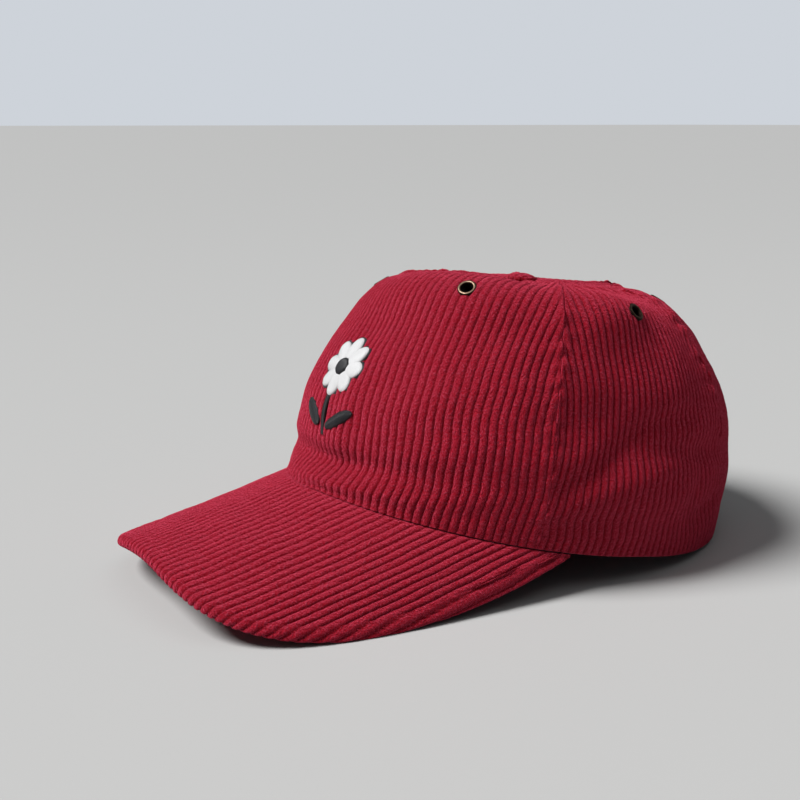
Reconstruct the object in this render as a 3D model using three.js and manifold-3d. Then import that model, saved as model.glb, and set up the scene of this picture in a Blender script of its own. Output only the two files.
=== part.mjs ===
// A five-panel corduroy snapback cap: a soft crown of one wide front panel, two side panels and
// two back panels, a covered button, six brass eyelets, a curved peak and a plastic snap strap.
// Millimetres, +Z up. The cap faces -Y and stands on its back hem and on the corners of its peak.
import * as THREE from 'three';
import { mergeVertices } from 'three/addons/utils/BufferGeometryUtils.js';
import Module from 'manifold-3d';

// Driving dimensions of the crown
const CROWN_LENGTH = 202;
const CROWN_WIDTH = 160;
const CROWN_HEIGHT = 112;
const FRONT_RISE = 38;
const TOP_TILT = 9.7;
const BUTTON_SETBACK = -4.6;
const CLOTH = 1.8;
const SEAM_GAP = 0.3;
const PIECE_GAP = 0.3;
const INNER_GAP = 0.6;

// Azimuth of each seam, in degrees from the middle of the front towards either side
const FRONT_SEAM_TOP = 67;
const FRONT_SEAM_HEM = 64;
const BACK_SEAM = 122;
const REST_AZIMUTH = 138;

// Driving dimensions of the peak
const PEAK_REACH = 68.5;
const PEAK_WIDTH = 151;
const PEAK_END_AZIMUTH = 71.5;
const PEAK_SQUARENESS = 3.5;
const PEAK_FALL = 17;
const PEAK_DISH = 1.9;
const PEAK_COVER = 2.2;
const PEAK_UNDER = 2;
const PEAK_LIP = 2.4;
const PEAK_TIP = 6;

// Driving dimensions of the trimmings
const BUTTON_DIAMETER = 14.5;
const BUTTON_HEIGHT = 4.6;
const EYELET_BORE = 4.6;
const EYELET_FLANGE = 7.8;
const EYELET_BARREL = 0.6;
const EYELET_RIM = 0.8;
const EYELET_SLACK = 1.7;
const ARCH_WIDTH = 88;
const ARCH_HEIGHT = 48;
const STRAP_HEIGHT = 20;
const STRAP_THICKNESS = 1.5;
const STRAP_TUCK = 15;
const STRAP_LIFT = 1;
const BAND_HEIGHT = 30;
const BAND_THICKNESS = 1.2;
const BAND_LIFT = 2;
const BAND_BACK_GAP = 3;
const FLOWER_DIAMETER = 27;
const FLOWER_CLIMB = 0.455;
const STEM_LENGTH = 30;
const STEM_WIDTH = 2;
const LEAF_LENGTH = 17;
const THREAD_RELIEF = 0.9;
const THREAD_GAP = 0.5;

const DEGREE = Math.PI / 180;
const TOP_CLIMB = 0.97;
const PANEL_ROWS = 22;
const FRONT_COLUMNS = 23;
const SIDE_COLUMNS = 12;

// Crown profile from the hem to the button. Climb is the share of the way up the cloth, height
// a share of CROWN_HEIGHT, front and back shares of CROWN_LENGTH, side a share of half the width.
const PROFILE = [
  { climb: 0.00, height: 0.000, front: 0.564, back: 0.436, side: 1.000 },
  { climb: 0.08, height: 0.127, front: 0.554, back: 0.456, side: 1.011 },
  { climb: 0.17, height: 0.271, front: 0.540, back: 0.472, side: 1.025 },
  { climb: 0.27, height: 0.433, front: 0.524, back: 0.465, side: 1.036 },
  { climb: 0.37, height: 0.587, front: 0.496, back: 0.438, side: 1.026 },
  { climb: 0.47, height: 0.730, front: 0.445, back: 0.400, side: 0.970 },
  { climb: 0.56, height: 0.852, front: 0.379, back: 0.360, side: 0.878 },
  { climb: 0.64, height: 0.950, front: 0.308, back: 0.314, side: 0.772 },
  { climb: 0.72, height: 0.988, front: 0.232, back: 0.275, side: 0.632 },
  { climb: 0.80, height: 0.998, front: 0.152, back: 0.215, side: 0.475 },
  { climb: 0.88, height: 1.000, front: 0.080, back: 0.130, side: 0.305 },
  { climb: 0.95, height: 1.000, front: 0.032, back: 0.048, side: 0.120 },
  { climb: 1.00, height: 1.000, front: 0.000, back: 0.000, side: 0.000 },
];

// Dents and folds, and the full shoulders of the soft cloth: azimuth in degrees (wearer's left
// positive), climb, half-length and half-width as shares of CROWN_HEIGHT, turn of the long axis up
// from the hem line, and depth (inward is negative) as a share of CROWN_HEIGHT.
const FOLDS = [
  { azimuth: 2, climb: 0.215, long: 0.42, wide: 0.060, turn: 2, depth: -0.030 },
  { azimuth: 12, climb: 0.110, long: 0.40, wide: 0.075, turn: 6, depth: 0.020 },
  { azimuth: 10, climb: 0.340, long: 0.20, wide: 0.060, turn: 84, depth: 0.014 },
  { azimuth: 3, climb: 0.560, long: 0.14, wide: 0.090, turn: 0, depth: -0.016 },
  { azimuth: 76, climb: 0.370, long: 0.30, wide: 0.130, turn: -12, depth: -0.032 },
  { azimuth: 112, climb: 0.265, long: 0.34, wide: 0.055, turn: -8, depth: -0.022 },
  { azimuth: 92, climb: 0.175, long: 0.34, wide: 0.080, turn: 4, depth: 0.018 },
  { azimuth: 114, climb: 0.110, long: 0.16, wide: 0.050, turn: 20, depth: -0.018 },
  { azimuth: -82, climb: 0.340, long: 0.30, wide: 0.120, turn: 10, depth: -0.024 },
  { azimuth: -108, climb: 0.210, long: 0.28, wide: 0.070, turn: 8, depth: 0.014 },
  { azimuth: 158, climb: 0.480, long: 0.22, wide: 0.110, turn: 20, depth: -0.020 },
  { azimuth: -160, climb: 0.500, long: 0.22, wide: 0.110, turn: -20, depth: -0.016 },
  { azimuth: 29, climb: 0.683, long: 0.70, wide: 0.147, turn: 0, depth: 0.069 },
  { azimuth: 81, climb: 0.631, long: 0.35, wide: 0.133, turn: 0, depth: 0.045 },
  { azimuth: -81, climb: 0.631, long: 0.35, wide: 0.133, turn: 0, depth: 0.040 },
  { azimuth: 37, climb: 0.817, long: 0.38, wide: 0.140, turn: 0, depth: -0.022 },
  { azimuth: 20, climb: 0.900, long: 0.30, wide: 0.120, turn: 0, depth: -0.010 },
];
const CLOTH_CLIMB_LENGTH = 1.62 * CROWN_HEIGHT;

// Cubic curve through one column of a table, with the slope at a row taken from its neighbours
function tableValue(table, by, column, at) {
  let row = 0;
  while (row < table.length - 2 && at > table[row + 1][by]) row += 1;
  const slopeAt = (index) => {
    const before = table[Math.max(index - 1, 0)];
    const after = table[Math.min(index + 1, table.length - 1)];
    return (after[column] - before[column]) / (after[by] - before[by]);
  };
  const start = table[row];
  const end = table[row + 1];
  const span = end[by] - start[by];
  const t = (at - start[by]) / span;
  const bend = span * (slopeAt(row) * (1 - t) - slopeAt(row + 1) * t);
  const blend = t * t * (3 - 2 * t);
  return start[column] * (1 - blend) + end[column] * blend + bend * t * (1 - t);
}

// Height of the hem over the floor: highest in the middle of the front, flat on the floor behind
function hemRise(azimuth) {
  const share = ((1 + Math.cos(azimuth * DEGREE)) / 2) ** 2;
  const flat = ((1 + Math.cos(REST_AZIMUTH * DEGREE)) / 2) ** 2;
  return FRONT_RISE * Math.max(0, share - flat) / (1 - flat);
}

// Point of the smooth crown: an ellipse in plan whose front and back halves differ in reach
function crownPoint(azimuth, climb) {
  const height = tableValue(PROFILE, 'climb', 'height', climb);
  const facing = Math.cos(azimuth * DEGREE);
  const reach = CROWN_LENGTH * tableValue(PROFILE, 'climb', facing > 0 ? 'front' : 'back', climb);
  const half = CROWN_WIDTH / 2 * tableValue(PROFILE, 'climb', 'side', climb);
  const ahead = reach * facing;
  const tilt = TOP_TILT * ahead / (CROWN_LENGTH / 2) * height ** 3;
  return new THREE.Vector3(
    half * Math.sin(azimuth * DEGREE),
    BUTTON_SETBACK * height ** 2 - ahead,
    CROWN_HEIGHT * height + hemRise(azimuth) * (1 - height) ** 3 + tilt,
  );
}

// Outward direction of the crown, level at the hem so that the cut edge stays flat
function crownNormal(azimuth, climb) {
  const turn = 1;
  const low = Math.max(climb - 0.005, 0);
  const high = Math.min(climb + 0.005, TOP_CLIMB + 0.005);
  const around = crownPoint(azimuth + turn, climb).sub(crownPoint(azimuth - turn, climb));
  const up = crownPoint(azimuth, high).sub(crownPoint(azimuth, low));
  const normal = around.cross(up).normalize();
  normal.z *= Math.min(1, climb / 0.04);
  return normal.normalize();
}

// Height of all folds together at a place on the crown, each a smooth oval hill or hollow
function foldHeight(azimuth, climb) {
  let total = 0;
  for (const fold of FOLDS) {
    const turned = ((azimuth - fold.azimuth + 540) % 360) - 180;
    const across = turned * DEGREE * CROWN_LENGTH / 2;
    const above = (climb - fold.climb) * CLOTH_CLIMB_LENGTH;
    const cosine = Math.cos(fold.turn * DEGREE);
    const sine = Math.sin(fold.turn * DEGREE);
    const along = (across * cosine + above * sine) / (fold.long * CROWN_HEIGHT);
    const aside = (above * cosine - across * sine) / (fold.wide * CROWN_HEIGHT);
    total += fold.depth * CROWN_HEIGHT * Math.exp(-along * along - aside * aside);
  }
  return total * Math.min(1, climb / 0.06);
}

// Point of the crown at a depth below its outer face, where a negative depth stands proud
function clothPoint(azimuth, climb, depth) {
  const lift = foldHeight(azimuth, climb) - depth;
  return crownPoint(azimuth, climb).addScaledVector(crownNormal(azimuth, climb), lift);
}

// Outward direction of the cloth with its folds
function clothNormal(azimuth, climb) {
  const turn = 1;
  const step = 0.005;
  const around = clothPoint(azimuth + turn, climb, 0).sub(clothPoint(azimuth - turn, climb, 0));
  const up = clothPoint(azimuth, climb + step, 0).sub(clothPoint(azimuth, climb - step, 0));
  return around.cross(up).normalize();
}

// Azimuth step that covers a distance along the crown at a climb
function azimuthStep(distance, azimuth, climb) {
  const here = crownPoint(azimuth, climb);
  return distance / crownPoint(azimuth + 1, climb).distanceTo(here);
}

// Closed solid from indexed corners, turned right side out
function solid(corners, triangles) {
  let volume = 0;
  for (const [a, b, c] of triangles) volume += corners[a].dot(corners[b].clone().cross(corners[c]));
  const index = triangles.flatMap(([a, b, c]) => (volume > 0 ? [a, b, c] : [a, c, b]));
  const geometry = new THREE.BufferGeometry();
  geometry.setAttribute('position', new THREE.Float32BufferAttribute(corners.flatMap((p) => p.toArray()), 3));
  geometry.setIndex(index);
  geometry.computeVertexNormals();
  return geometry;
}

// Wall between two grids of points, columns by rows, closed along its four edges
function wall(outer, inner) {
  const columns = outer.length;
  const rows = outer[0].length;
  const corners = [...outer.flat(), ...inner.flat()];
  const at = (side, column, row) => side * columns * rows + column * rows + row;
  const triangles = [];
  const quad = (a, b, c, d) => triangles.push([a, b, c], [a, c, d]);
  for (let i = 0; i < columns - 1; i += 1) {
    for (let j = 0; j < rows - 1; j += 1) {
      quad(at(0, i, j), at(0, i + 1, j), at(0, i + 1, j + 1), at(0, i, j + 1));
      quad(at(1, i, j), at(1, i, j + 1), at(1, i + 1, j + 1), at(1, i + 1, j));
    }
    quad(at(0, i, 0), at(1, i, 0), at(1, i + 1, 0), at(0, i + 1, 0));
    quad(at(0, i, rows - 1), at(0, i + 1, rows - 1), at(1, i + 1, rows - 1), at(1, i, rows - 1));
  }
  for (let j = 0; j < rows - 1; j += 1) {
    quad(at(0, 0, j), at(0, 0, j + 1), at(1, 0, j + 1), at(1, 0, j));
    quad(at(0, columns - 1, j), at(1, columns - 1, j), at(1, columns - 1, j + 1), at(0, columns - 1, j + 1));
  }
  return solid(corners, triangles);
}

// Evenly spaced shares from 0 to 1
function shares(count) {
  return Array.from({ length: count }, (_, index) => index / (count - 1));
}

// Wall piece laid on the crown between two depths, from a list of columns of azimuth and climb
function crownWall(grid, outerDepth, innerDepth) {
  const layer = (depth) => grid.map((column) => column.map(([azimuth, climb]) => {
    const below = typeof depth === 'function' ? depth(azimuth) : depth;
    return clothPoint(azimuth, climb, below);
  }));
  return wall(layer(outerDepth), layer(innerDepth));
}

const wasm = await Module();
wasm.setup();

// Closed geometry as a solid that can be cut
function toCutter(geometry) {
  const bare = geometry.clone();
  bare.deleteAttribute('normal');
  bare.deleteAttribute('uv');
  const merged = mergeVertices(bare, 1e-4);
  return new wasm.Manifold(new wasm.Mesh({
    numProp: 3,
    vertProperties: new Float32Array(merged.attributes.position.array),
    triVerts: new Uint32Array(merged.index.array),
  }));
}

// Cut solid back as a geometry
function fromCutter(cut) {
  const mesh = cut.getMesh();
  const geometry = new THREE.BufferGeometry();
  geometry.setAttribute('position', new THREE.BufferAttribute(new Float32Array(mesh.vertProperties), 3));
  geometry.setIndex(new THREE.BufferAttribute(new Uint32Array(mesh.triVerts), 1));
  geometry.computeVertexNormals();
  return geometry;
}

// Materials
const corduroy = new THREE.MeshStandardMaterial({ color: 0x8e1a2c, roughness: 0.95, metalness: 0 });
const liningCloth = new THREE.MeshStandardMaterial({ color: 0x7c1524, roughness: 0.9, metalness: 0 });
const brass = new THREE.MeshStandardMaterial({ color: 0x6f6453, roughness: 0.45, metalness: 0.9 });
const plastic = new THREE.MeshStandardMaterial({ color: 0x7a1422, roughness: 0.4, metalness: 0 });
const whiteThread = new THREE.MeshStandardMaterial({ color: 0xeceae6, roughness: 0.6, metalness: 0 });
const darkThread = new THREE.MeshStandardMaterial({ color: 0x1a1c26, roughness: 0.6, metalness: 0 });

const cap = new THREE.Group();

// Adds a named piece to the cap
function add(name, geometry, material) {
  const mesh = new THREE.Mesh(geometry, material);
  mesh.name = name;
  cap.add(mesh);
  return mesh;
}

// Eyelets: azimuth and climb of each pair, in the panel that holds it
const EYELETS = [
  { place: 'front', azimuth: 32.4, climb: 0.646 },
  { place: 'side', azimuth: 93.8, climb: 0.623 },
  { place: 'back', azimuth: 152, climb: 0.66 },
];
const SIDES = [{ side: 'left', sign: 1 }, { side: 'right', sign: -1 }];

// Place and direction of an eyelet on one side of the cap
function eyeletSeat(eyelet, sign) {
  const azimuth = sign * eyelet.azimuth;
  const seat = new THREE.Object3D();
  seat.position.copy(clothPoint(azimuth, eyelet.climb, 0));
  seat.quaternion.setFromUnitVectors(new THREE.Vector3(0, 1, 0), clothNormal(azimuth, eyelet.climb));
  seat.updateMatrix();
  return seat;
}

// Panel with the round holes that its eyelets pass through
function pierced(geometry, seats) {
  const bore = EYELET_BORE / 2 + EYELET_BARREL + PIECE_GAP;
  let panel = toCutter(geometry);
  for (const seat of seats) {
    const drill = new THREE.CylinderGeometry(bore, bore, CLOTH * 6, 12).applyMatrix4(seat.matrix);
    panel = panel.subtract(toCutter(drill));
  }
  return fromCutter(panel);
}

// Azimuth of the front seam, which leans forward towards the hem
function frontSeam(climb) {
  return FRONT_SEAM_HEM + (FRONT_SEAM_TOP - FRONT_SEAM_HEM) * climb;
}

// Half of the seam gap as an azimuth
function seamMargin(azimuth, climb) {
  return azimuthStep(SEAM_GAP / 2, azimuth, climb);
}

// Columns of a panel between two seams, from the hem up to the button
function panelGrid(fromSeam, toSeam, columns, rows) {
  return shares(columns).map((across) => shares(rows).map((up) => {
    const climb = TOP_CLIMB * up;
    const start = fromSeam(climb) + seamMargin(fromSeam(climb), climb);
    const end = toSeam(climb) - seamMargin(toSeam(climb), climb);
    return [start + (end - start) * across, climb];
  }));
}

// Front panel
const frontGrid = panelGrid((climb) => -frontSeam(climb), frontSeam, FRONT_COLUMNS, PANEL_ROWS);
const frontSeats = SIDES.map(({ sign }) => eyeletSeat(EYELETS[0], sign));
add('front_panel', pierced(crownWall(frontGrid, 0, CLOTH), frontSeats), corduroy);

// Side panels
for (const { side, sign } of SIDES) {
  const grid = panelGrid(frontSeam, () => BACK_SEAM, SIDE_COLUMNS, PANEL_ROWS)
    .map((column) => column.map(([azimuth, climb]) => [sign * azimuth, climb]));
  const seats = [eyeletSeat(EYELETS[1], sign)];
  add(`side_panel_${side}`, pierced(crownWall(grid, 0, CLOTH), seats), corduroy);
}

// Back panels, whose feet follow the half-moon arch over the strap
const archAzimuth = azimuthStep(ARCH_WIDTH / 2, 180 - 15, 0);
const archClimb = ARCH_HEIGHT / CLOTH_CLIMB_LENGTH;

// Azimuths of a back panel's columns and the climb of their feet: even steps round the arch
function backColumns() {
  const aroundArch = shares(6).map((share) => {
    const angle = share * Math.PI / 2;
    return { azimuth: 180 - archAzimuth * Math.sin(angle), foot: archClimb * Math.cos(angle) };
  });
  const toSeam = shares(6).slice(1).map((share) => ({
    azimuth: (180 - archAzimuth) * (1 - share) + BACK_SEAM * share,
    foot: 0,
  }));
  return [...aroundArch, ...toSeam];
}

for (const { side, sign } of SIDES) {
  const columns = backColumns();
  const grid = columns.map(({ azimuth, foot }, index) => shares(15).map((up) => {
    const climb = foot + (TOP_CLIMB - foot) * up;
    const atBackSeam = index === 0 ? seamMargin(azimuth, climb) : 0;
    const atSideSeam = index === columns.length - 1 ? seamMargin(azimuth, climb) : 0;
    return [sign * (azimuth - atBackSeam + atSideSeam), climb];
  }));
  const seats = [eyeletSeat(EYELETS[2], sign)];
  add(`back_panel_${side}`, pierced(crownWall(grid, 0, CLOTH), seats), corduroy);
}

// Top button: a cloth-covered dome that sits on the meeting point of the panels
const buttonProfile = [
  [0, 0], [0.9, 0], [1, 0.22], [0.93, 0.55], [0.68, 0.86], [0.36, 0.98], [0, 1],
].map(([out, up]) => new THREE.Vector2(out * BUTTON_DIAMETER / 2, up * BUTTON_HEIGHT));
const button = add('top_button', new THREE.LatheGeometry(buttonProfile, 18), corduroy);
const topNormal = new THREE.Vector3(0, TOP_TILT / (CROWN_LENGTH / 2), 1).normalize();
button.quaternion.setFromUnitVectors(new THREE.Vector3(0, 1, 0), topNormal);
button.position.copy(crownPoint(0, 1)).addScaledVector(topNormal, PIECE_GAP);

// Brass eyelets: a barrel through the cloth between an outer flange and a clinched inner one
const bore = EYELET_BORE / 2;
const eyeletProfile = [
  [bore, EYELET_RIM],
  [bore, -CLOTH - EYELET_SLACK - EYELET_RIM],
  [EYELET_FLANGE / 2 - 0.2, -CLOTH - EYELET_SLACK],
  [bore + EYELET_BARREL, -CLOTH - EYELET_SLACK],
  [bore + EYELET_BARREL, PIECE_GAP],
  [EYELET_FLANGE / 2, PIECE_GAP],
  [EYELET_FLANGE / 2 - 0.3, PIECE_GAP + EYELET_RIM * 0.7],
  [bore + EYELET_BARREL, PIECE_GAP + EYELET_RIM],
  [bore, EYELET_RIM],
].map(([out, up]) => new THREE.Vector2(out, up));
for (const eyelet of EYELETS) {
  for (const { side, sign } of SIDES) {
    const piece = add(`eyelet_${eyelet.place}_${side}`, new THREE.LatheGeometry(eyeletProfile, 12), brass);
    const seat = eyeletSeat(eyelet, sign);
    piece.position.copy(seat.position);
    piece.quaternion.copy(seat.quaternion);
  }
}

// Sweatband: a plain strip inside the hem that stops short of the strap's tucked ends
const strapEnd = archAzimuth + azimuthStep(STRAP_TUCK, BACK_SEAM, 0);
const bandEnd = 180 - strapEnd - azimuthStep(BAND_BACK_GAP, BACK_SEAM, 0);
const bandFoot = BAND_LIFT / CLOTH_CLIMB_LENGTH;
const bandTop = (BAND_LIFT + BAND_HEIGHT) / CLOTH_CLIMB_LENGTH;
const bandGrid = shares(37).map((around) => shares(4).map((up) => (
  [bandEnd * (2 * around - 1), bandFoot + (bandTop - bandFoot) * up]
)));
add('sweatband', crownWall(bandGrid, CLOTH + INNER_GAP, CLOTH + INNER_GAP + BAND_THICKNESS), liningCloth);

// Snap strap: two overlapping halves as one strip across the arch, thicker where they overlap
const strapFoot = STRAP_LIFT / CLOTH_CLIMB_LENGTH;
const strapTop = (STRAP_LIFT + STRAP_HEIGHT) / CLOTH_CLIMB_LENGTH;
const strapGrid = shares(21).map((around) => shares(3).map((up) => (
  [180 + strapEnd * (2 * around - 1), strapFoot + (strapTop - strapFoot) * up]
)));
const overlapAzimuth = archAzimuth * 0.62;
const strapOuter = (azimuth) => {
  const fromMiddle = Math.abs(azimuth - 180);
  return CLOTH + INNER_GAP - (fromMiddle < overlapAzimuth ? STRAP_THICKNESS : 0);
};
add('snap_strap', crownWall(strapGrid, strapOuter, CLOTH + INNER_GAP + STRAP_THICKNESS), plastic);

// Plan outline of the peak, from the right end round the front to the left end: straight sides
// that taper in, round corners and a nearly flat front, as a superellipse of half PEAK_WIDTH.
const jointEnd = crownPoint(PEAK_END_AZIMUTH, 0);
const peakFrontY = crownPoint(0, 0).y - PEAK_REACH;

function peakOutline(columns) {
  const half = PEAK_WIDTH / 2;
  const power = 2 / PEAK_SQUARENESS;
  const fine = shares(801).map((share) => {
    const side = 2 * share - 1;
    const angle = Math.sign(side) * (1 - (1 - Math.abs(side)) ** 3) * Math.PI / 2;
    const forward = (jointEnd.y - peakFrontY) * Math.abs(Math.cos(angle)) ** power;
    const flare = 1 - (1 - jointEnd.x / half) * Math.exp(-forward / (PEAK_REACH / 4));
    return new THREE.Vector2(half * flare * Math.sign(side) * Math.abs(Math.sin(angle)) ** power,
      jointEnd.y - forward);
  });
  const lengths = [0];
  for (let i = 1; i < fine.length; i += 1) lengths.push(lengths[i - 1] + fine[i].distanceTo(fine[i - 1]));
  const total = lengths[lengths.length - 1];
  return shares(columns).map((share) => {
    const target = PEAK_TIP + (total - 2 * PEAK_TIP) * share;
    const next = lengths.findIndex((length) => length >= target);
    const part = (target - lengths[next - 1]) / (lengths[next] - lengths[next - 1]);
    const point = fine[next - 1].clone().lerp(fine[next], part);
    const along = fine[next].clone().sub(fine[next - 1]).normalize();
    return { point, outward: new THREE.Vector2(along.y, -along.x) };
  });
}

// Azimuth at which the hem reaches a distance to the side
function jointAzimuth(x) {
  return Math.asin(THREE.MathUtils.clamp(2 * x / CROWN_WIDTH, -1, 1)) / DEGREE;
}

// Upper face of the peak, which falls forward from the joint and flattens towards its front
function peakHeight(x, y) {
  const joint = crownPoint(jointAzimuth(x), 0);
  const share = Math.max(0, joint.y - y) / PEAK_REACH;
  return joint.z - PIECE_GAP - PEAK_FALL * share + PEAK_DISH * share * share;
}

// Upper face point of the peak, lowered by a depth
function peakPoint(x, y, depth) {
  return new THREE.Vector3(x, y, peakHeight(x, y) - depth);
}

// Rear edge of the peak below the crown's cut edge, at its outer or inner face
function jointPoint(x, clothDepth, depth) {
  const azimuth = jointAzimuth(x);
  const point = clothPoint(azimuth, 0, clothDepth);
  point.z = crownPoint(azimuth, 0).z - PIECE_GAP - depth;
  return point;
}

const peakColumns = peakOutline(35);
const peakRows = [0.12, 0.28, 0.46, 0.64, 0.82, 1];

// Points of one column from the joint to a line inset from the outline
function peakRun({ point, outward }, inset, depth) {
  const end = point.clone().addScaledVector(outward, -inset);
  const joint = jointPoint(point.x, 0, 0);
  return peakRows.map((share) => {
    const x = point.x + (end.x - point.x) * share;
    const y = joint.y + (end.y - joint.y) * share;
    return peakPoint(x, y, depth);
  });
}

// Peak cover: cloth over the top whose lip turns down round the edge
const peakDepth = PEAK_COVER + PIECE_GAP + PEAK_UNDER;
const coverOuter = peakColumns.map((column) => {
  const { point, outward } = column;
  const rim = [[0.7, 0.1], [0.15, 0.3], [0, 0.55], [0.15, 0.8], [0.6, 1]].map(([inset, down]) => {
    const at = point.clone().addScaledVector(outward, -inset * PEAK_LIP);
    return peakPoint(at.x, at.y, down * peakDepth);
  });
  const joint = [jointPoint(point.x, CLOTH, 0), jointPoint(point.x, 0, 0)];
  return [...joint, ...peakRun(column, PEAK_LIP, 0), ...rim];
});
const coverInner = peakColumns.map((column) => {
  const { point, outward } = column;
  const lip = [0.1, 0.3, 0.55, 0.8, 1].map((down) => {
    const at = point.clone().addScaledVector(outward, -PEAK_LIP);
    return peakPoint(at.x, at.y, PEAK_COVER + (peakDepth - PEAK_COVER) * down);
  });
  const joint = [jointPoint(point.x, CLOTH, PEAK_COVER), jointPoint(point.x, 0, PEAK_COVER)];
  return [...joint, ...peakRun(column, PEAK_LIP, PEAK_COVER), ...lip];
});
add('peak_cover', wall(coverOuter, coverInner), corduroy);

// Peak underside: board and cloth that fill the cover's lip from below
const underEnds = peakColumns
  .map(({ point, outward }) => point.clone().addScaledVector(outward, -PEAK_LIP - PIECE_GAP))
  .filter((end) => jointPoint(end.x, 0, 0).y - end.y > PEAK_LIP);
const underFace = (depth) => underEnds.map((end) => {
  const joint = jointPoint(end.x, 0, depth);
  const run = peakRows.map((share) => peakPoint(end.x, joint.y + (end.y - joint.y) * share, depth));
  return [jointPoint(end.x, CLOTH, depth), joint, ...run];
});
const underTop = PEAK_COVER + PIECE_GAP;
add('peak_underside', wall(underFace(underTop), underFace(underTop + PEAK_UNDER)), corduroy);

// Point of the front panel at a distance to the side and above a climb
function frontPoint(across, above, depth) {
  const climb = FLOWER_CLIMB + above / CLOTH_CLIMB_LENGTH;
  const azimuth = azimuthStep(across, 0, climb);
  return clothPoint(azimuth, climb, depth);
}

// Raised patch of embroidery on the front panel, its outline given as a radius for each angle
function patch(centreAcross, centreAbove, radius, steps) {
  const rings = [0.5, 0.85, 1];
  const relief = [0.9, 0.75, 0.3];
  const corners = [
    frontPoint(centreAcross, centreAbove, -THREAD_GAP - THREAD_RELIEF),
    frontPoint(centreAcross, centreAbove, -THREAD_GAP),
  ];
  const triangles = [];
  const at = (face, ring, step) => 2 + (face * rings.length + ring) * steps + (step % steps);
  for (const face of [0, 1]) {
    rings.forEach((share, ring) => {
      const depth = -THREAD_GAP - (face === 0 ? THREAD_RELIEF * relief[ring] : 0);
      for (let step = 0; step < steps; step += 1) {
        const angle = 2 * Math.PI * step / steps;
        const reach = share * radius(angle);
        const across = centreAcross + reach * Math.cos(angle);
        corners.push(frontPoint(across, centreAbove + reach * Math.sin(angle), depth));
      }
    });
  }
  for (let step = 0; step < steps; step += 1) {
    triangles.push([0, at(0, 0, step), at(0, 0, step + 1)]);
    triangles.push([1, at(1, 0, step + 1), at(1, 0, step)]);
    for (let ring = 0; ring < rings.length - 1; ring += 1) {
      triangles.push([at(0, ring, step), at(0, ring + 1, step), at(0, ring + 1, step + 1)]);
      triangles.push([at(0, ring, step), at(0, ring + 1, step + 1), at(0, ring, step + 1)]);
      triangles.push([at(1, ring, step), at(1, ring + 1, step + 1), at(1, ring + 1, step)]);
      triangles.push([at(1, ring, step), at(1, ring, step + 1), at(1, ring + 1, step + 1)]);
    }
    const last = rings.length - 1;
    triangles.push([at(0, last, step), at(1, last, step), at(1, last, step + 1)]);
    triangles.push([at(0, last, step), at(1, last, step + 1), at(0, last, step + 1)]);
  }
  return solid(corners, triangles);
}

// Embroidered flower with eight petals
const PETALS = 8;
const flowerRadius = (angle) => FLOWER_DIAMETER / 2 * (0.8 + 0.2 * Math.cos(PETALS * angle));
add('embroidered_flower', patch(0, 0, flowerRadius, PETALS * 4), whiteThread);

// Embroidered stem below the flower
const stemTop = -FLOWER_DIAMETER / 2 - STEM_WIDTH / 2;
const stemFace = (depth) => shares(6).map((down) => [-0.5, 0.5].map((side) => (
  frontPoint(side * STEM_WIDTH + STEM_WIDTH * 2 * (1 - Math.cos(down * 1.6)),
    stemTop - (STEM_LENGTH - FLOWER_DIAMETER / 2) * down, depth)
)));
add('embroidered_stem', wall(stemFace(-THREAD_GAP - THREAD_RELIEF), stemFace(-THREAD_GAP)), darkThread);

// Embroidered leaves either side of the stem
for (const { side, sign } of SIDES) {
  const lean = 35 * DEGREE;
  const leafRadius = (angle) => {
    const turned = angle - (sign > 0 ? lean : Math.PI - lean);
    return LEAF_LENGTH / 2 * (0.34 + 0.66 * Math.abs(Math.cos(turned)) ** 3);
  };
  const across = sign * (LEAF_LENGTH * 0.58) + STEM_WIDTH * 0.8;
  add(`embroidered_leaf_${side}`, patch(across, stemTop - LEAF_LENGTH * 0.45, leafRadius, 16), darkThread);
}

// The cap stands on the floor with its plan centred on the origin
const box = new THREE.Box3().setFromObject(cap, true);
cap.position.set(-(box.min.x + box.max.x) / 2, -(box.min.y + box.max.y) / 2, -box.min.z);

export default cap;
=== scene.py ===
"""A five-panel corduroy snapback cap, dressed over its construction model.

Shapes are worked out in millimetres in the cap's own frame, in which the button stands over x = 0,
and put() turns them into metres in the model's frame. Angles are degrees: an azimuth is 0 in the
middle of the front and grows towards the wearer's left, and a climb is the share of the way up the
cloth from the hem to the button.
"""
import bpy
import numpy as np
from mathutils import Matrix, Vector


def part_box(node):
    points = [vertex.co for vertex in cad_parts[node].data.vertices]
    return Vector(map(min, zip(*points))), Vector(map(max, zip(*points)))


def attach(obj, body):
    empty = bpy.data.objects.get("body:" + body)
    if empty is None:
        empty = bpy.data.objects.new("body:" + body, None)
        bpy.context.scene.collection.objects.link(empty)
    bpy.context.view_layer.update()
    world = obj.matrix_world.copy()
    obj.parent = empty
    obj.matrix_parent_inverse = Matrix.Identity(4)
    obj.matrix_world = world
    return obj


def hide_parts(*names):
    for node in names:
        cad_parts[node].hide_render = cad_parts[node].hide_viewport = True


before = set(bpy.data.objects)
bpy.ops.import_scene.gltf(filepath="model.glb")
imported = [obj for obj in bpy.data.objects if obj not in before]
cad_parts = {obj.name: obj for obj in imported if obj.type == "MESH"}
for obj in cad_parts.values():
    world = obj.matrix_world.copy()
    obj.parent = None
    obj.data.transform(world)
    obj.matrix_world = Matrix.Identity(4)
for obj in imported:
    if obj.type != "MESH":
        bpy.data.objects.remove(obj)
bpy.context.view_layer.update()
MM = 0.001

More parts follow.
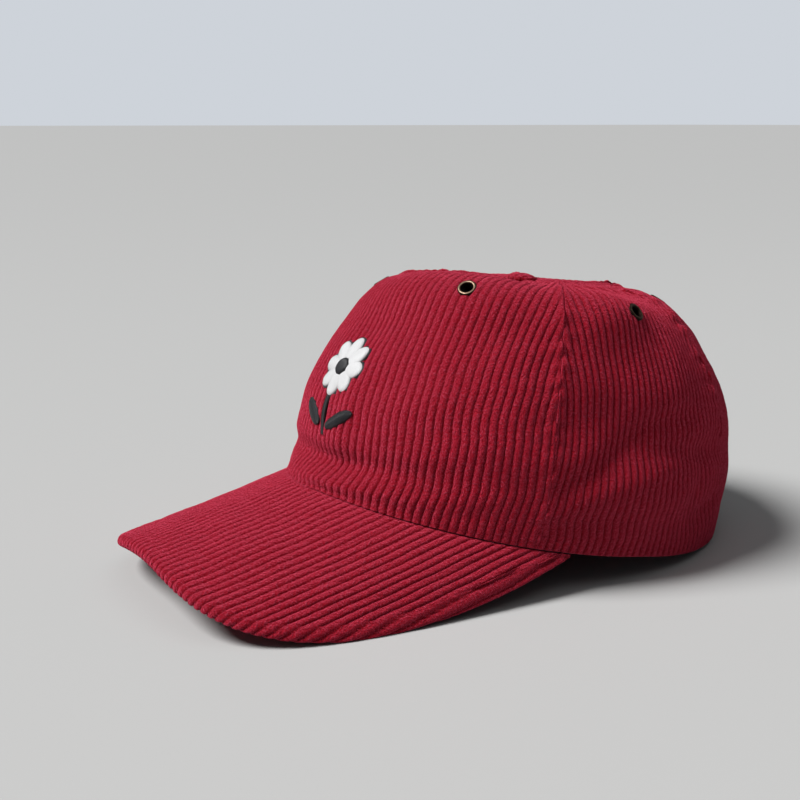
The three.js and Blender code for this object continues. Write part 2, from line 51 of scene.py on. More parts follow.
# Camera: where it stands round the cap, in degrees and metres, and what it looks at
CAMERA_AZIMUTH = 58.0
CAMERA_ELEVATION = 12.978
CAMERA_DISTANCE = 0.54271
CAMERA_AIM = Vector((-0.03237, -0.00282, 0.05798))
CAMERA_LENS = 54.3
CAMERA_SENSOR = 36.0


def heading(azimuth, elevation):
    """Unit vector from the cap towards an azimuth and elevation."""
    turn, rise = np.radians(azimuth), np.radians(elevation)
    return Vector((np.sin(turn) * np.cos(rise), -np.cos(turn) * np.cos(rise), np.sin(rise)))


def aim(holder, place, target):
    """Stands an object at a place with its -Z axis on a target."""
    holder.location = place
    holder.rotation_euler = (Vector(target) - Vector(place)).to_track_quat("-Z", "Y").to_euler()
    bpy.context.collection.objects.link(holder)


def make_camera():
    camera = bpy.data.objects.new("camera", bpy.data.cameras.new("camera"))
    camera.data.lens = CAMERA_LENS
    camera.data.sensor_width = CAMERA_SENSOR
    aim(camera, CAMERA_AIM + heading(CAMERA_AZIMUTH, CAMERA_ELEVATION) * CAMERA_DISTANCE, CAMERA_AIM)
    bpy.context.scene.camera = camera


make_camera()

# Crown
CROWN_LENGTH = 202.0
CROWN_WIDTH = 160.0
CROWN_HEIGHT = 112.0
FRONT_RISE = 38.0
TOP_TILT = 9.7
BUTTON_SETBACK = -4.6
CLOTH = 1.8
CLOTH_CLIMB_LENGTH = 1.62 * CROWN_HEIGHT
TOP_CLIMB = 0.97
FRONT_SEAM_TOP = 67.0
FRONT_SEAM_HEM = 64.0
BACK_SEAM = 122.0
REST_AZIMUTH = 138.0
ARCH_WIDTH = 88.0
ARCH_HEIGHT = 48.0

# Peak
PEAK_REACH = 68.5
PEAK_WIDTH = 151.0
PEAK_END_AZIMUTH = 71.5
PEAK_SQUARENESS = 3.5
PEAK_FALL = 17.0
PEAK_DISH = 1.9
PEAK_COVER = 2.2
PEAK_UNDER = 2.0
PEAK_LIP = 2.4
PEAK_TIP = 3.0
PIECE_GAP = 0.3

# Corduroy: pitch of the wales, height of the pile, how far it stands over the solid's face, and
# the share of a wale that the ridge fills
WALE_PITCH = 3.5
WALE_RELIEF = 0.9
WALE_PROUD = 0.35
RIDGE_SHARE = 0.94
PER_WALE = 10

# Crown profile from the hem to the button. Height is a share of CROWN_HEIGHT, front and back
# shares of CROWN_LENGTH, and side a share of half the width.
PROFILE_COLUMNS = ("climb", "height", "front", "back", "side")
PROFILE = np.array([
    (0.00, 0.000, 0.564, 0.436, 1.000),
    (0.08, 0.127, 0.554, 0.456, 1.011),
    (0.17, 0.271, 0.540, 0.472, 1.025),
    (0.27, 0.433, 0.524, 0.465, 1.036),
    (0.37, 0.587, 0.496, 0.438, 1.026),
    (0.47, 0.730, 0.445, 0.400, 0.970),
    (0.56, 0.852, 0.379, 0.360, 0.878),
    (0.64, 0.950, 0.308, 0.314, 0.772),
    (0.72, 0.988, 0.232, 0.275, 0.632),
    (0.80, 0.998, 0.152, 0.215, 0.475),
    (0.88, 1.000, 0.080, 0.130, 0.305),
    (0.95, 1.000, 0.032, 0.048, 0.120),
    (1.00, 1.000, 0.000, 0.000, 0.000),
])

# Dents and folds, and the full shoulders of the soft cloth: half-length and half-width as shares of
# CROWN_HEIGHT, turn of the long axis up from the hem line, and depth (inward is negative) as a share
# of CROWN_HEIGHT.
FOLD_COLUMNS = ("azimuth", "climb", "long", "wide", "turn", "depth")
FOLDS = np.array([
    (2, 0.215, 0.42, 0.060, 2, -0.030),
    (12, 0.110, 0.40, 0.075, 6, 0.020),
    (10, 0.340, 0.20, 0.060, 84, 0.014),
    (3, 0.560, 0.14, 0.090, 0, -0.016),
    (76, 0.370, 0.30, 0.130, -12, -0.032),
    (112, 0.265, 0.34, 0.055, -8, -0.022),
    (92, 0.175, 0.34, 0.080, 4, 0.018),
    (114, 0.110, 0.16, 0.050, 20, -0.018),
    (-82, 0.340, 0.30, 0.120, 10, -0.024),
    (-108, 0.210, 0.28, 0.070, 8, 0.014),
    (158, 0.480, 0.22, 0.110, 20, -0.020),
    (-160, 0.500, 0.22, 0.110, -20, -0.016),
    (29, 0.683, 0.70, 0.147, 0, 0.069),
    (81, 0.631, 0.35, 0.133, 0, 0.045),
    (-81, 0.631, 0.35, 0.133, 0, 0.040),
    (37, 0.817, 0.38, 0.140, 0, -0.022),
    (20, 0.900, 0.30, 0.120, 0, -0.010),
])

# Shallow creases of the cloth alone, in the same terms
CREASES = np.array([
    (78, 0.275, 0.22, 0.050, 38, -0.017),
    (90, 0.235, 0.26, 0.060, 14, 0.014),
    (100, 0.365, 0.20, 0.050, 4, -0.012),
    (107, 0.180, 0.12, 0.050, 60, -0.012),
    (-74, 0.300, 0.20, 0.055, -30, -0.014),
    (-100, 0.380, 0.22, 0.055, 6, -0.012),
    (-82, 0.700, 0.42, 0.120, 0, -0.021),
])

# Grain of the cloth by climb: the real spacing of the wales as a share of WALE_PITCH, and how far the
# grain has drifted aside, in millimetres, towards the wearer's left in front and the back at the sides
GRAIN_COLUMNS = ("climb", "front_left", "front_right", "side", "front_drift", "side_drift")
GRAIN = np.array([
    (0.00, 1.00, 1.00, 0.97, 0.0, 0.0),
    (0.06, 1.00, 1.02, 0.97, -0.5, 2.2),
    (0.12, 1.01, 1.04, 0.97, -1.0, 2.3),
    (0.20, 1.01, 1.05, 0.92, 0.4, 3.2),
    (0.28, 1.00, 1.05, 0.88, 1.1, 5.4),
    (0.33, 1.00, 1.04, 0.86, 0.6, 6.8),
    (0.45, 1.00, 1.02, 0.83, -3.7, 10.0),
    (0.60, 0.95, 0.92, 0.83, -9.1, 13.5),
    (0.75, 0.90, 0.88, 0.86, -16.0, 16.5),
    (1.00, 0.90, 0.87, 0.86, -18.0, 17.0),
])


def table_value(column, at):
    """Cubic curve through one column of PROFILE, whose slope at a row is that of its neighbours."""
    climbs = PROFILE[:, 0]
    values = PROFILE[:, PROFILE_COLUMNS.index(column)]
    last = len(climbs) - 1
    after = np.minimum(np.arange(last + 1) + 1, last)
    before = np.maximum(np.arange(last + 1) - 1, 0)
    slopes = (values[after] - values[before]) / (climbs[after] - climbs[before])
    row = np.clip(np.searchsorted(climbs, at, side="right") - 1, 0, last - 1)
    span = climbs[row + 1] - climbs[row]
    t = (at - climbs[row]) / span
    bend = span * (slopes[row] * (1 - t) - slopes[row + 1] * t)
    blend = t * t * (3 - 2 * t)
    return values[row] * (1 - blend) + values[row + 1] * blend + bend * t * (1 - t)


def unit(vectors):
    return vectors / np.maximum(np.linalg.norm(vectors, axis=-1, keepdims=True), 1e-9)


def hem_rise(azimuth):
    """Height of the hem over the floor: the fourth power of a cosine of half the azimuth, cut off flat
    past REST_AZIMUTH."""
    share = ((1 + np.cos(np.radians(azimuth))) / 2) ** 2
    flat = ((1 + np.cos(np.radians(REST_AZIMUTH))) / 2) ** 2
    return FRONT_RISE * np.maximum(0, share - flat) / (1 - flat)


def crown_point(azimuth, climb):
    """The smooth crown: an ellipse in plan whose front and back halves differ in reach, with the
    sizes of each height from PROFILE, a raised front hem and a top that tilts up to the front."""
    azimuth, climb = np.broadcast_arrays(np.asarray(azimuth, float), np.asarray(climb, float))
    angle = np.radians(azimuth)
    height = table_value("height", climb)
    facing = np.cos(angle)
    reach = CROWN_LENGTH * np.where(facing > 0, table_value("front", climb), table_value("back", climb))
    half = CROWN_WIDTH / 2 * table_value("side", climb)
    ahead = reach * facing
    tilt = TOP_TILT * ahead / (CROWN_LENGTH / 2) * height ** 3
    rise = hem_rise(azimuth) * (1 - height) ** 3
    return np.stack([half * np.sin(angle), BUTTON_SETBACK * height ** 2 - ahead,
                     CROWN_HEIGHT * height + rise + tilt], axis=-1)


def crown_normal(azimuth, climb):
    """Outward direction: the step round the crown crossed with the step up it, level at the hem."""
    low = np.maximum(climb - 0.005, 0)
    high = np.minimum(climb + 0.005, TOP_CLIMB + 0.005)
    around = crown_point(azimuth + 1, climb) - crown_point(azimuth - 1, climb)
    up = crown_point(azimuth, high) - crown_point(azimuth, low)
    normal = unit(np.cross(around, up))
    normal[..., 2] *= np.minimum(1, climb / 0.04)
    return unit(normal)


def fold_height(azimuth, climb, folds=FOLDS):
    """Sum of the folds, each an oval bell: depth times e to minus the squared distance from its
    middle, measured in half-lengths along it and half-widths across it."""
    total = 0
    for at, middle, long, wide, turn, depth in folds:
        across = np.radians((azimuth - at + 540) % 360 - 180) * CROWN_LENGTH / 2
        above = (climb - middle) * CLOTH_CLIMB_LENGTH
        cosine, sine = np.cos(np.radians(turn)), np.sin(np.radians(turn))
        along = (across * cosine + above * sine) / (long * CROWN_HEIGHT)
        aside = (above * cosine - across * sine) / (wide * CROWN_HEIGHT)
        total = total + depth * CROWN_HEIGHT * np.exp(-along ** 2 - aside ** 2)
    return total * np.minimum(1, climb / 0.06)


def cloth_point(azimuth, climb, lift):
    """Point of the crown at a height over its outer face, with the folds."""
    azimuth, climb, lift = np.broadcast_arrays(azimuth, climb, lift)
    raised = (fold_height(azimuth, climb) + lift)[..., None]
    return crown_point(azimuth, climb) + crown_normal(azimuth, climb) * raised


def cloth_normal(azimuth, climb):
    """Outward direction of the cloth with its folds."""
    around = cloth_point(azimuth + 1, climb, 0.0) - cloth_point(azimuth - 1, climb, 0.0)
    up = cloth_point(azimuth, climb + 0.005, 0.0) - cloth_point(azimuth, climb - 0.005, 0.0)
    return unit(np.cross(around, up))


def azimuth_step(distance, azimuth, climb):
    """Azimuth that covers a distance along the crown at a climb."""
    step = crown_point(azimuth + 1, climb) - crown_point(azimuth, climb)
    return distance / np.linalg.norm(step, axis=-1)


def ripple(u, v, seed, waves=7):
    """Smooth wandering value between about -1 and 1: a sum of sine waves in seeded directions."""
    draw = np.random.default_rng(seed)
    total = 0
    for _ in range(waves):
        turn, pace, start = draw.uniform(0, 2 * np.pi), draw.uniform(0.6, 1.7), draw.uniform(0, 2 * np.pi)
        total = total + np.sin(2 * np.pi * pace * (np.cos(turn) * u + np.sin(turn) * v) + start)
    return total / np.sqrt(waves * 1.6)


def wale_body(across, along, seed):
    """Height of the pile, 0 in a groove and 1 on a ridge: a soft oval across each wale, whose line
    wanders a little and whose height varies along it."""
    wander = 0.16 * ripple(across / 34, along / 30, seed) + 0.12 * ripple(across / 4, along / 4, seed + 5)
    phase = (across + wander) / WALE_PITCH
    wale = np.round(phase)
    off_ridge = 2 * np.abs(phase - wale) / RIDGE_SHARE
    oval = np.clip(1 - off_ridge ** 2.4, 0, 1) ** 0.7
    tall = 0.9 + 0.05 * ripple(wale * 1.7, along / 11, seed + 1) + 0.05 * ripple(wale * 2.3, along / 4, seed + 6)
    return oval * tall


def rolled_edge(distance, radius):
    """Drop of a turned edge: a quarter round of the radius over the last stretch of that length."""
    return radius * (1 - np.sqrt(1 - np.clip(1 - distance / radius, 0, 1) ** 2))


# Meshes

# Shift from the cap's own frame to the model's, from the button and the front of the peak
button_low, button_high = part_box("top_button")
peak_low, peak_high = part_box("peak_cover")
peak_front = crown_point(0, 0)[1] - PEAK_REACH
SHIFT = np.array([(button_low[0] + button_high[0]) / 2 / MM, peak_low[1] / MM - peak_front, 0])


def lattice_triangles(index):
    """Two triangles to a cell of a lattice of corner numbers, leaving out those without an area."""
    a, b, c, d = index[:-1, :-1], index[1:, :-1], index[1:, 1:], index[:-1, 1:]
    halves = [np.stack([a, b, c], -1), np.stack([a, c, d], -1)]
    return drop_slivers(np.concatenate([half.reshape(-1, 3) for half in halves]))


def drop_slivers(triangles):
    first, second, third = triangles.T
    return triangles[(first != second) & (second != third) & (third != first)]


def lattice_rim(index, across, up):
    """Corner numbers along the four edges of a lattice in turn, and the place of each from 0 to 4."""
    corners = np.concatenate([index[:-1, 0], index[-1, :-1], index[:0:-1, -1], index[0, :0:-1], index[:1, 0]])
    place = np.concatenate([across[:-1], 1 + up[:-1], 3 - across[:0:-1], 4 - up[:0:-1], [4]])
    return corners, place


def zip_rims(outer, outer_place, inner, inner_place):
    """Wall between two rims: each step along one rim is joined to the corner reached on the other."""
    reached = np.clip(np.searchsorted(inner_place, outer_place[1:], "left") - 1, 0, len(inner) - 1)
    beside = np.clip(np.searchsorted(outer_place, inner_place[1:], "right") - 1, 0, len(outer) - 1)
    steps_out = np.stack([outer[1:], outer[:-1], inner[reached]], -1)
    steps_in = np.stack([inner[:-1], inner[1:], outer[beside]], -1)
    return drop_slivers(np.concatenate([steps_out, steps_in]))


def shell(outer, inner, outer_index=None, inner_index=None, columns=None, rows=None):
    """Closed wall between an outer lattice and a coarser inner one, whose columns and rows are the
    named ones of the outer lattice. Gives the corners and the triangles."""
    count = outer.shape[0] * outer.shape[1]
    if columns is None:
        columns, rows = np.arange(outer.shape[0]), np.arange(outer.shape[1])
    if outer_index is None:
        outer_index = np.arange(count).reshape(outer.shape[:2])
    if inner_index is None:
        inner_index = np.arange(inner.shape[0] * inner.shape[1]).reshape(inner.shape[:2])
    inner_index = inner_index + count
    full_across = np.arange(outer.shape[0]) / (outer.shape[0] - 1)
    full_up = np.arange(outer.shape[1]) / (outer.shape[1] - 1)
    outer_rim = lattice_rim(outer_index, full_across, full_up)
    inner_rim = lattice_rim(inner_index, full_across[columns], full_up[rows])
    triangles = np.concatenate([
        lattice_triangles(outer_index),
        lattice_triangles(inner_index)[:, ::-1],
        zip_rims(*outer_rim, *inner_rim),
    ])
    return np.concatenate([outer.reshape(-1, 3), inner.reshape(-1, 3)]), triangles


def turned(middle, direction):
    """Columns of a frame whose third axis is a direction: two level-ish axes and the direction."""
    third = unit(np.asarray(direction, float))
    first = unit(np.cross([0.0, 1.0, 0.3], third))
    return np.asarray(middle, float), np.stack([first, np.cross(third, first), third])


def spun(profile, steps):
    """Closed ring or dome: a closed profile of radius and height, carried round the third axis."""
    angle = np.linspace(0, 2 * np.pi, steps, endpoint=False)[:, None]
    radius, height = np.asarray(profile, float).T
    points = np.stack([np.cos(angle) * radius, np.sin(angle) * radius, np.zeros_like(angle) + height], -1)
    index = np.arange(steps * len(radius)).reshape(steps, len(radius))
    index = np.concatenate([index, index[:1]])
    index = np.concatenate([index, index[:, :1]], axis=1)
    return points.reshape(-1, 3), lattice_triangles(index)


def put(name, points, triangles, material, nodes=(), marks=None, shift=True):
    """Makes a piece: a smooth mesh in metres in the model's frame, with its finish and its named values
    per corner, hung from the root body; hides the construction nodes that it stands for."""
    used, renumbered = np.unique(triangles, return_inverse=True)
    corners = (points[used] + (SHIFT if shift else 0)) * MM
    mesh = bpy.data.meshes.new(name)
    mesh.from_pydata(corners.tolist(), [], renumbered.reshape(-1, 3).tolist())
    for mark, values in (marks or {}).items():
        layer = mesh.attributes.new(mark, "FLOAT", "POINT")
        layer.data.foreach_set("value", np.asarray(values, np.float32).reshape(-1)[used])
    mesh.polygons.foreach_set("use_smooth", np.ones(len(mesh.polygons), bool))
    mesh.materials.append(material)
    mesh.update()
    piece = bpy.data.objects.new(name, mesh)
    bpy.context.collection.objects.link(piece)
    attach(piece, "root")
    if nodes:
        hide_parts(*nodes)
    return piece


def joined(parts):
    """Several lots of corners and triangles as one."""
    starts = np.cumsum([0] + [len(points) for points, _ in parts[:-1]])
    return (np.concatenate([points for points, _ in parts]),
            np.concatenate([triangles + start for start, (_, triangles) in zip(starts, parts)]))


# Materials

def add_node(tree, kind, inputs=None, **settings):
    made = tree.nodes.new(kind)
    for key, value in settings.items():
        setattr(made, key, value)
    for key, value in (inputs or {}).items():
        if isinstance(value, bpy.types.NodeSocket):
            tree.links.new(value, made.inputs[key])
        else:
            made.inputs[key].default_value = value
    return made


def new_group(name, inputs, outputs):
    """Shader group with named sockets: inputs maps a name to a kind and a value."""
    group = bpy.data.node_groups.new(name, "ShaderNodeTree")
    for label, (kind, value) in inputs.items():
        socket = group.interface.new_socket(label, in_out="INPUT", socket_type="NodeSocket" + kind)
        socket.default_value = value
    for label, kind in outputs.items():
        group.interface.new_socket(label, in_out="OUTPUT", socket_type="NodeSocket" + kind)
    return group, group.nodes.new("NodeGroupInput").outputs, group.nodes.new("NodeGroupOutput")


def mix(tree, factor, first, second, blend="MIX"):
    """Colour mix, whose sockets are numbered because their names repeat."""
    return add_node(tree, "ShaderNodeMix", {0: factor, 6: first, 7: second},
                    data_type="RGBA", blend_type=blend).outputs[2]


def math(tree, operation, first, second=0.0, third=0.0):
    return add_node(tree, "ShaderNodeMath", {0: first, 1: second, 2: third}, operation=operation).outputs[0]


def scaled_noise(tree, size, detail=2.0, rough=0.5):
    """Noise on Object coordinates whose blobs measure about size, in millimetres."""
    where = add_node(tree, "ShaderNodeTexCoord").outputs["Object"]
    return add_node(tree, "ShaderNodeTexNoise", {
        "Vector": where, "Scale": 1 / (size * MM), "Detail": detail, "Roughness": rough,
    }).outputs["Fac"]


def linear(red, green, blue):
    """Colour from 8-bit display values."""
    shares = np.array([red, green, blue]) / 255
    light = np.where(shares <= 0.04045, shares / 12.92, ((shares + 0.055) / 1.055) ** 2.4)
    return (*[float(value) for value in light], 1.0)


def pile_group():
    """Pile of corduroy: tufts, soft patches where the pile lies another way, and fibre ends that catch
    the light or fall in shade."""
    group, given, out = new_group("pile", {
        "Tuft": ("Float", 0.5),
        "Patch": ("Float", 24.0),
    }, {"Height": "Float", "Patches": "Float", "Specks": "Float"})
    where = add_node(group, "ShaderNodeTexCoord").outputs["Object"]

    def noise(size, detail):
        pace = math(group, "DIVIDE", 1 / MM, size)
        return add_node(group, "ShaderNodeTexNoise",
                        {"Vector": where, "Scale": pace, "Detail": detail}).outputs["Fac"]
    tufts = noise(given["Tuft"], 3.0)
    fine = noise(math(group, "MULTIPLY", given["Tuft"], 0.4), 1.0)
    height = math(group, "MULTIPLY_ADD", fine, 0.6, tufts)
    group.links.new(height, out.inputs["Height"])
    patches = add_node(group, "ShaderNodeMapRange", {
        "Value": noise(given["Patch"], 2.0), "From Min": 0.35, "From Max": 0.65,
    }).outputs[0]
    group.links.new(patches, out.inputs["Patches"])
    specks = add_node(group, "ShaderNodeMapRange", {
        "Value": math(group, "MULTIPLY_ADD", fine, 0.6, math(group, "MULTIPLY", tufts, 0.4)),
        "From Min": 0.36, "From Max": 0.66,
    }).outputs[0]
    group.links.new(specks, out.inputs["Specks"])
    return group


def cloth_tone_group():
    """Colour of a ribbed cloth: groove to ridge by the wale's height, dulled in patches, and along the fibre
    ends a painted highlight on the ridges and painted shade in the groove colour."""
    group, given, out = new_group("cloth_tone", {
        "Wale": ("Float", 1.0),
        "Patches": ("Float", 0.5),
        "Specks": ("Float", 0.0),
        "Groove": ("Color", linear(124, 0, 9)),
        "Ridge": ("Color", linear(165, 19, 39)),
        # painted highlight: pale colour of the fibre ends that catch the light
        "Glint": ("Color", linear(200, 86, 110)),
    }, {"Color": "Color"})
    height = add_node(group, "ShaderNodeMapRange", {
        "Value": given["Wale"], "From Min": 0.05, "From Max": 0.95,
    }, interpolation_type="SMOOTHSTEP").outputs[0]
    base = mix(group, height, given["Groove"], given["Ridge"])
    dulled = mix(group, math(group, "MULTIPLY", given["Patches"], 0.35), base,
                 mix(group, 0.5, base, given["Groove"]))
    # Fibre ends: painted highlight on the ridges where the specks are high, painted shade in the groove colour
    # where they are low
    bright = math(group, "MAXIMUM", math(group, "SUBTRACT", given["Specks"], 0.5), 0.0)
    dark = math(group, "MAXIMUM", math(group, "SUBTRACT", 0.5, given["Specks"]), 0.0)
    wear_and_glint = mix(group, math(group, "MULTIPLY", math(group, "MULTIPLY", bright, height), 1.1),
               dulled, given["Glint"])
    group.links.new(mix(group, math(group, "MULTIPLY", dark, 1.1), wear_and_glint, given["Groove"]),
                    out.inputs["Color"])
    return group


def twill_group():
    """Fine woven ground: diagonal lines of one pitch, in millimetres, broken by a little noise."""
    group, given, out = new_group("twill", {"Pitch": ("Float", 0.8)}, {"Height": "Float"})
    where = add_node(group, "ShaderNodeTexCoord").outputs["Object"]
    split = add_node(group, "ShaderNodeSeparateXYZ", {0: where})
    slope = math(group, "ADD", math(group, "ADD", split.outputs[0], split.outputs[1]), split.outputs[2])
    pace = math(group, "DIVIDE", 2 * np.pi / MM, given["Pitch"])
    wave = math(group, "SINE", math(group, "MULTIPLY", slope, pace))
    loose = math(group, "MULTIPLY", scaled_noise(group, 0.5), 0.8)
    group.links.new(math(group, "MULTIPLY_ADD", wave, 0.5, loose), out.inputs["Height"])
    return group


def strand_group():
    """Laid thread: a round ridge for each whole number of the Strand value, with a soft twist."""
    group, given, out = new_group("strands", {
        "Strand": ("Float", 0.0),
        "Thread": ("Color", (0.8, 0.8, 0.8, 1)),
        "Shade": ("Color", (0.2, 0.2, 0.2, 1)),
    }, {"Height": "Float", "Color": "Color"})
    wave = math(group, "ABSOLUTE", math(group, "SINE", math(group, "MULTIPLY", given["Strand"], np.pi)))
    loose = scaled_noise(group, 0.35, 2.0)
    height = math(group, "MULTIPLY_ADD", loose, 0.35, wave)
    group.links.new(height, out.inputs["Height"])
    tone = add_node(group, "ShaderNodeMapRange", {"Value": height, "From Min": 0.1, "From Max": 0.75}).outputs[0]
    group.links.new(mix(group, tone, given["Shade"], given["Thread"]), out.inputs["Color"])
    return group


PILE = pile_group()
CLOTH_TONE = cloth_tone_group()
TWILL = twill_group()
STRANDS = strand_group()


def new_material(name, colour, roughness, **sockets):
    """Material with a Principled shader: the constants are set on the shader's own sockets."""
    material = bpy.data.materials.new(name)
    material.use_nodes = True
    shader = material.node_tree.nodes["Principled BSDF"]
    shader.inputs["Base Color"].default_value = colour
    shader.inputs["Roughness"].default_value = roughness
    for label, value in sockets.items():
        shader.inputs[label.replace("_", " ")].default_value = value
    return material, material.node_tree, shader


def use_group(tree, group, inputs=None):
    placed = add_node(tree, "ShaderNodeGroup", node_tree=group)
    for key, value in (inputs or {}).items():
        if isinstance(value, bpy.types.NodeSocket):
            tree.links.new(value, placed.inputs[key])
        else:
            placed.inputs[key].default_value = value
    return placed.outputs


def bump(tree, shader, height, distance, strength=1.0):
    """Relief of a height, in millimetres, on a shader's normal."""
    relief = add_node(tree, "ShaderNodeBump", {"Height": height, "Distance": distance * MM, "Strength": strength})
    tree.links.new(relief.outputs[0], shader.inputs["Normal"])


def corduroy_material():
    material, tree, shader = new_material(
        "crimson_corduroy", linear(150, 26, 46), 0.95,
        Sheen_Weight=0.85, Sheen_Roughness=0.42, Sheen_Tint=linear(255, 98, 130), Specular_IOR_Level=0.06)
    wale = add_node(tree, "ShaderNodeAttribute", attribute_name="wale").outputs["Fac"]
    pile = use_group(tree, PILE, {"Tuft": 0.85, "Patch": 26.0})
    # the fibre ends of the pile get a painted highlight and painted shade through the cloth tone
    tone = use_group(tree, CLOTH_TONE, {"Wale": wale, "Patches": pile["Patches"], "Specks": pile["Specks"]})
    tree.links.new(tone["Color"], shader.inputs["Base Color"])
    bump(tree, shader, pile["Height"], 1.5)
    return material


def band_material():
    material, tree, shader = new_material(
        "crimson_twill", linear(120, 20, 36), 0.85, Sheen_Weight=0.2, Sheen_Roughness=0.5)
    pile = use_group(tree, PILE, {"Tuft": 0.6, "Patch": 18.0})
    # the fibre ends of the twill get a painted highlight in a pale red and painted shade in the groove colour
    tone = use_group(tree, CLOTH_TONE, {
        "Wale": 0.8, "Patches": pile["Patches"], "Specks": pile["Specks"],
        "Groove": linear(60, 6, 14), "Ridge": linear(124, 22, 38), "Glint": linear(150, 52, 62),
    })
    tree.links.new(tone["Color"], shader.inputs["Base Color"])
    bump(tree, shader, use_group(tree, TWILL, {"Pitch": 0.9})["Height"], 0.15)
    return material


def plastic_material():
    material, tree, shader = new_material("moulded_strap", linear(104, 14, 26), 0.42)
    cloudy = scaled_noise(tree, 6.0, 3.0)
    tone = mix(tree, cloudy, linear(96, 12, 24), linear(116, 18, 32))
    tree.links.new(tone, shader.inputs["Base Color"])
    rough = add_node(tree, "ShaderNodeMapRange", {"Value": cloudy, "To Min": 0.34, "To Max": 0.5}).outputs[0]
    tree.links.new(rough, shader.inputs["Roughness"])
    bump(tree, shader, scaled_noise(tree, 0.4), 0.03)
    return material


def brass_material():
    """Antique brass: near-black patina in the hollows, rubbed pale on the rolled rim."""
    material, tree, shader = new_material("antique_brass", linear(90, 76, 60), 0.4, Metallic=1.0)
    wear_and_glint = add_node(tree, "ShaderNodeAttribute", attribute_name="wear_and_glint").outputs["Fac"]
    blotch = scaled_noise(tree, 1.1, 4.0)
    wear = add_node(tree, "ShaderNodeMapRange", {
        "Value": math(tree, "ADD", wear_and_glint, math(tree, "MULTIPLY", blotch, 0.6)),
        "From Min": 0.9, "From Max": 1.5,
    }, interpolation_type="SMOOTHSTEP").outputs[0]
    tone = mix(tree, wear, linear(38, 28, 23), linear(140, 118, 98))
    tree.links.new(tone, shader.inputs["Base Color"])
    rough = add_node(tree, "ShaderNodeMapRange", {"Value": wear, "To Min": 0.62, "To Max": 0.3}).outputs[0]
    tree.links.new(rough, shader.inputs["Roughness"])
    bump(tree, shader, blotch, 0.05)
    return material


def thread_material(name, thread, shade, sheen):
    material, tree, shader = new_material(name, thread, 0.5, Sheen_Weight=sheen, Sheen_Roughness=0.3)
    strand = add_node(tree, "ShaderNodeAttribute", attribute_name="strand").outputs["Fac"]
    laid = use_group(tree, STRANDS, {"Strand": strand, "Thread": thread, "Shade": shade})
    tree.links.new(laid["Color"], shader.inputs["Base Color"])
    bump(tree, shader, laid["Height"], 0.14)
    return material


CORDUROY = corduroy_material()
BAND_CLOTH = band_material()
STRAP_PLASTIC = plastic_material()
BRASS = brass_material()
WHITE_THREAD = thread_material("white_thread", linear(204, 204, 204), linear(140, 140, 144), 0.25)
DARK_THREAD = thread_material("dark_thread", linear(9, 10, 17), linear(3, 3, 6), 0.04)


# Crown panels

def arch_foot(azimuth):
    """Climb of the hem: the half oval of the arch at the back, and 0 elsewhere."""
    half = azimuth_step(ARCH_WIDTH / 2, 180 - 15, 0.0)
    share = np.clip((180 - np.abs(azimuth)) / half, 0, 1)
    return ARCH_HEIGHT / CLOTH_CLIMB_LENGTH * np.sqrt(1 - share ** 2)


def edge_distance(azimuth, climb):
    """Distance up from the hem, or out from the oval of the arch, in millimetres: how far the oval
    through a point is outside the arch, over the steepness of that oval."""
    half = azimuth_step(ARCH_WIDTH / 2, 180 - 15, 0.0)
    aside = (180 - np.abs(azimuth)) / half * (ARCH_WIDTH / 2)
    above = climb * CLOTH_CLIMB_LENGTH
    size = np.hypot(aside / (ARCH_WIDTH / 2), above / ARCH_HEIGHT) + 1e-6
    slope = np.hypot(aside / (ARCH_WIDTH / 2) ** 2, above / ARCH_HEIGHT ** 2) / size + 1e-6
    return np.where(aside < ARCH_WIDTH / 2, (size - 1) / slope, np.minimum(above, np.abs(size - 1) / slope))


def hem_rows(spacing):
    """Climbs of a panel's rows: close together over the turned hem, then evenly spaced."""
    turn = np.array([0, 0.25, 0.6, 1.0, 1.5, 2.2, 3.1])
    top = TOP_CLIMB * CLOTH_CLIMB_LENGTH
    rest = np.linspace(4.2, top, int((top - 4.2) / spacing))
    return np.concatenate([turn, rest]) / CLOTH_CLIMB_LENGTH


def trimmed(across, low, high, start):
    """Lattice of corner numbers in which the corners beyond a panel's seams, or below its foot, give
    the number of the corner on that edge."""
    columns, rows = len(across), len(low)
    index = np.arange(columns * rows).reshape(columns, rows)
    first = np.clip(np.searchsorted(across, low, "right") - 1, 0, columns - 1)
    last = np.clip(np.searchsorted(across, high, "left"), 0, columns - 1)
    column = np.clip(np.arange(columns)[:, None], first[None, :], last[None, :])
    row = np.maximum(np.arange(rows)[None, :], start[column])
    return index[column, row]


def grain(climb, label):
    return np.interp(climb, GRAIN[:, 0], GRAIN[:, GRAIN_COLUMNS.index(label)])


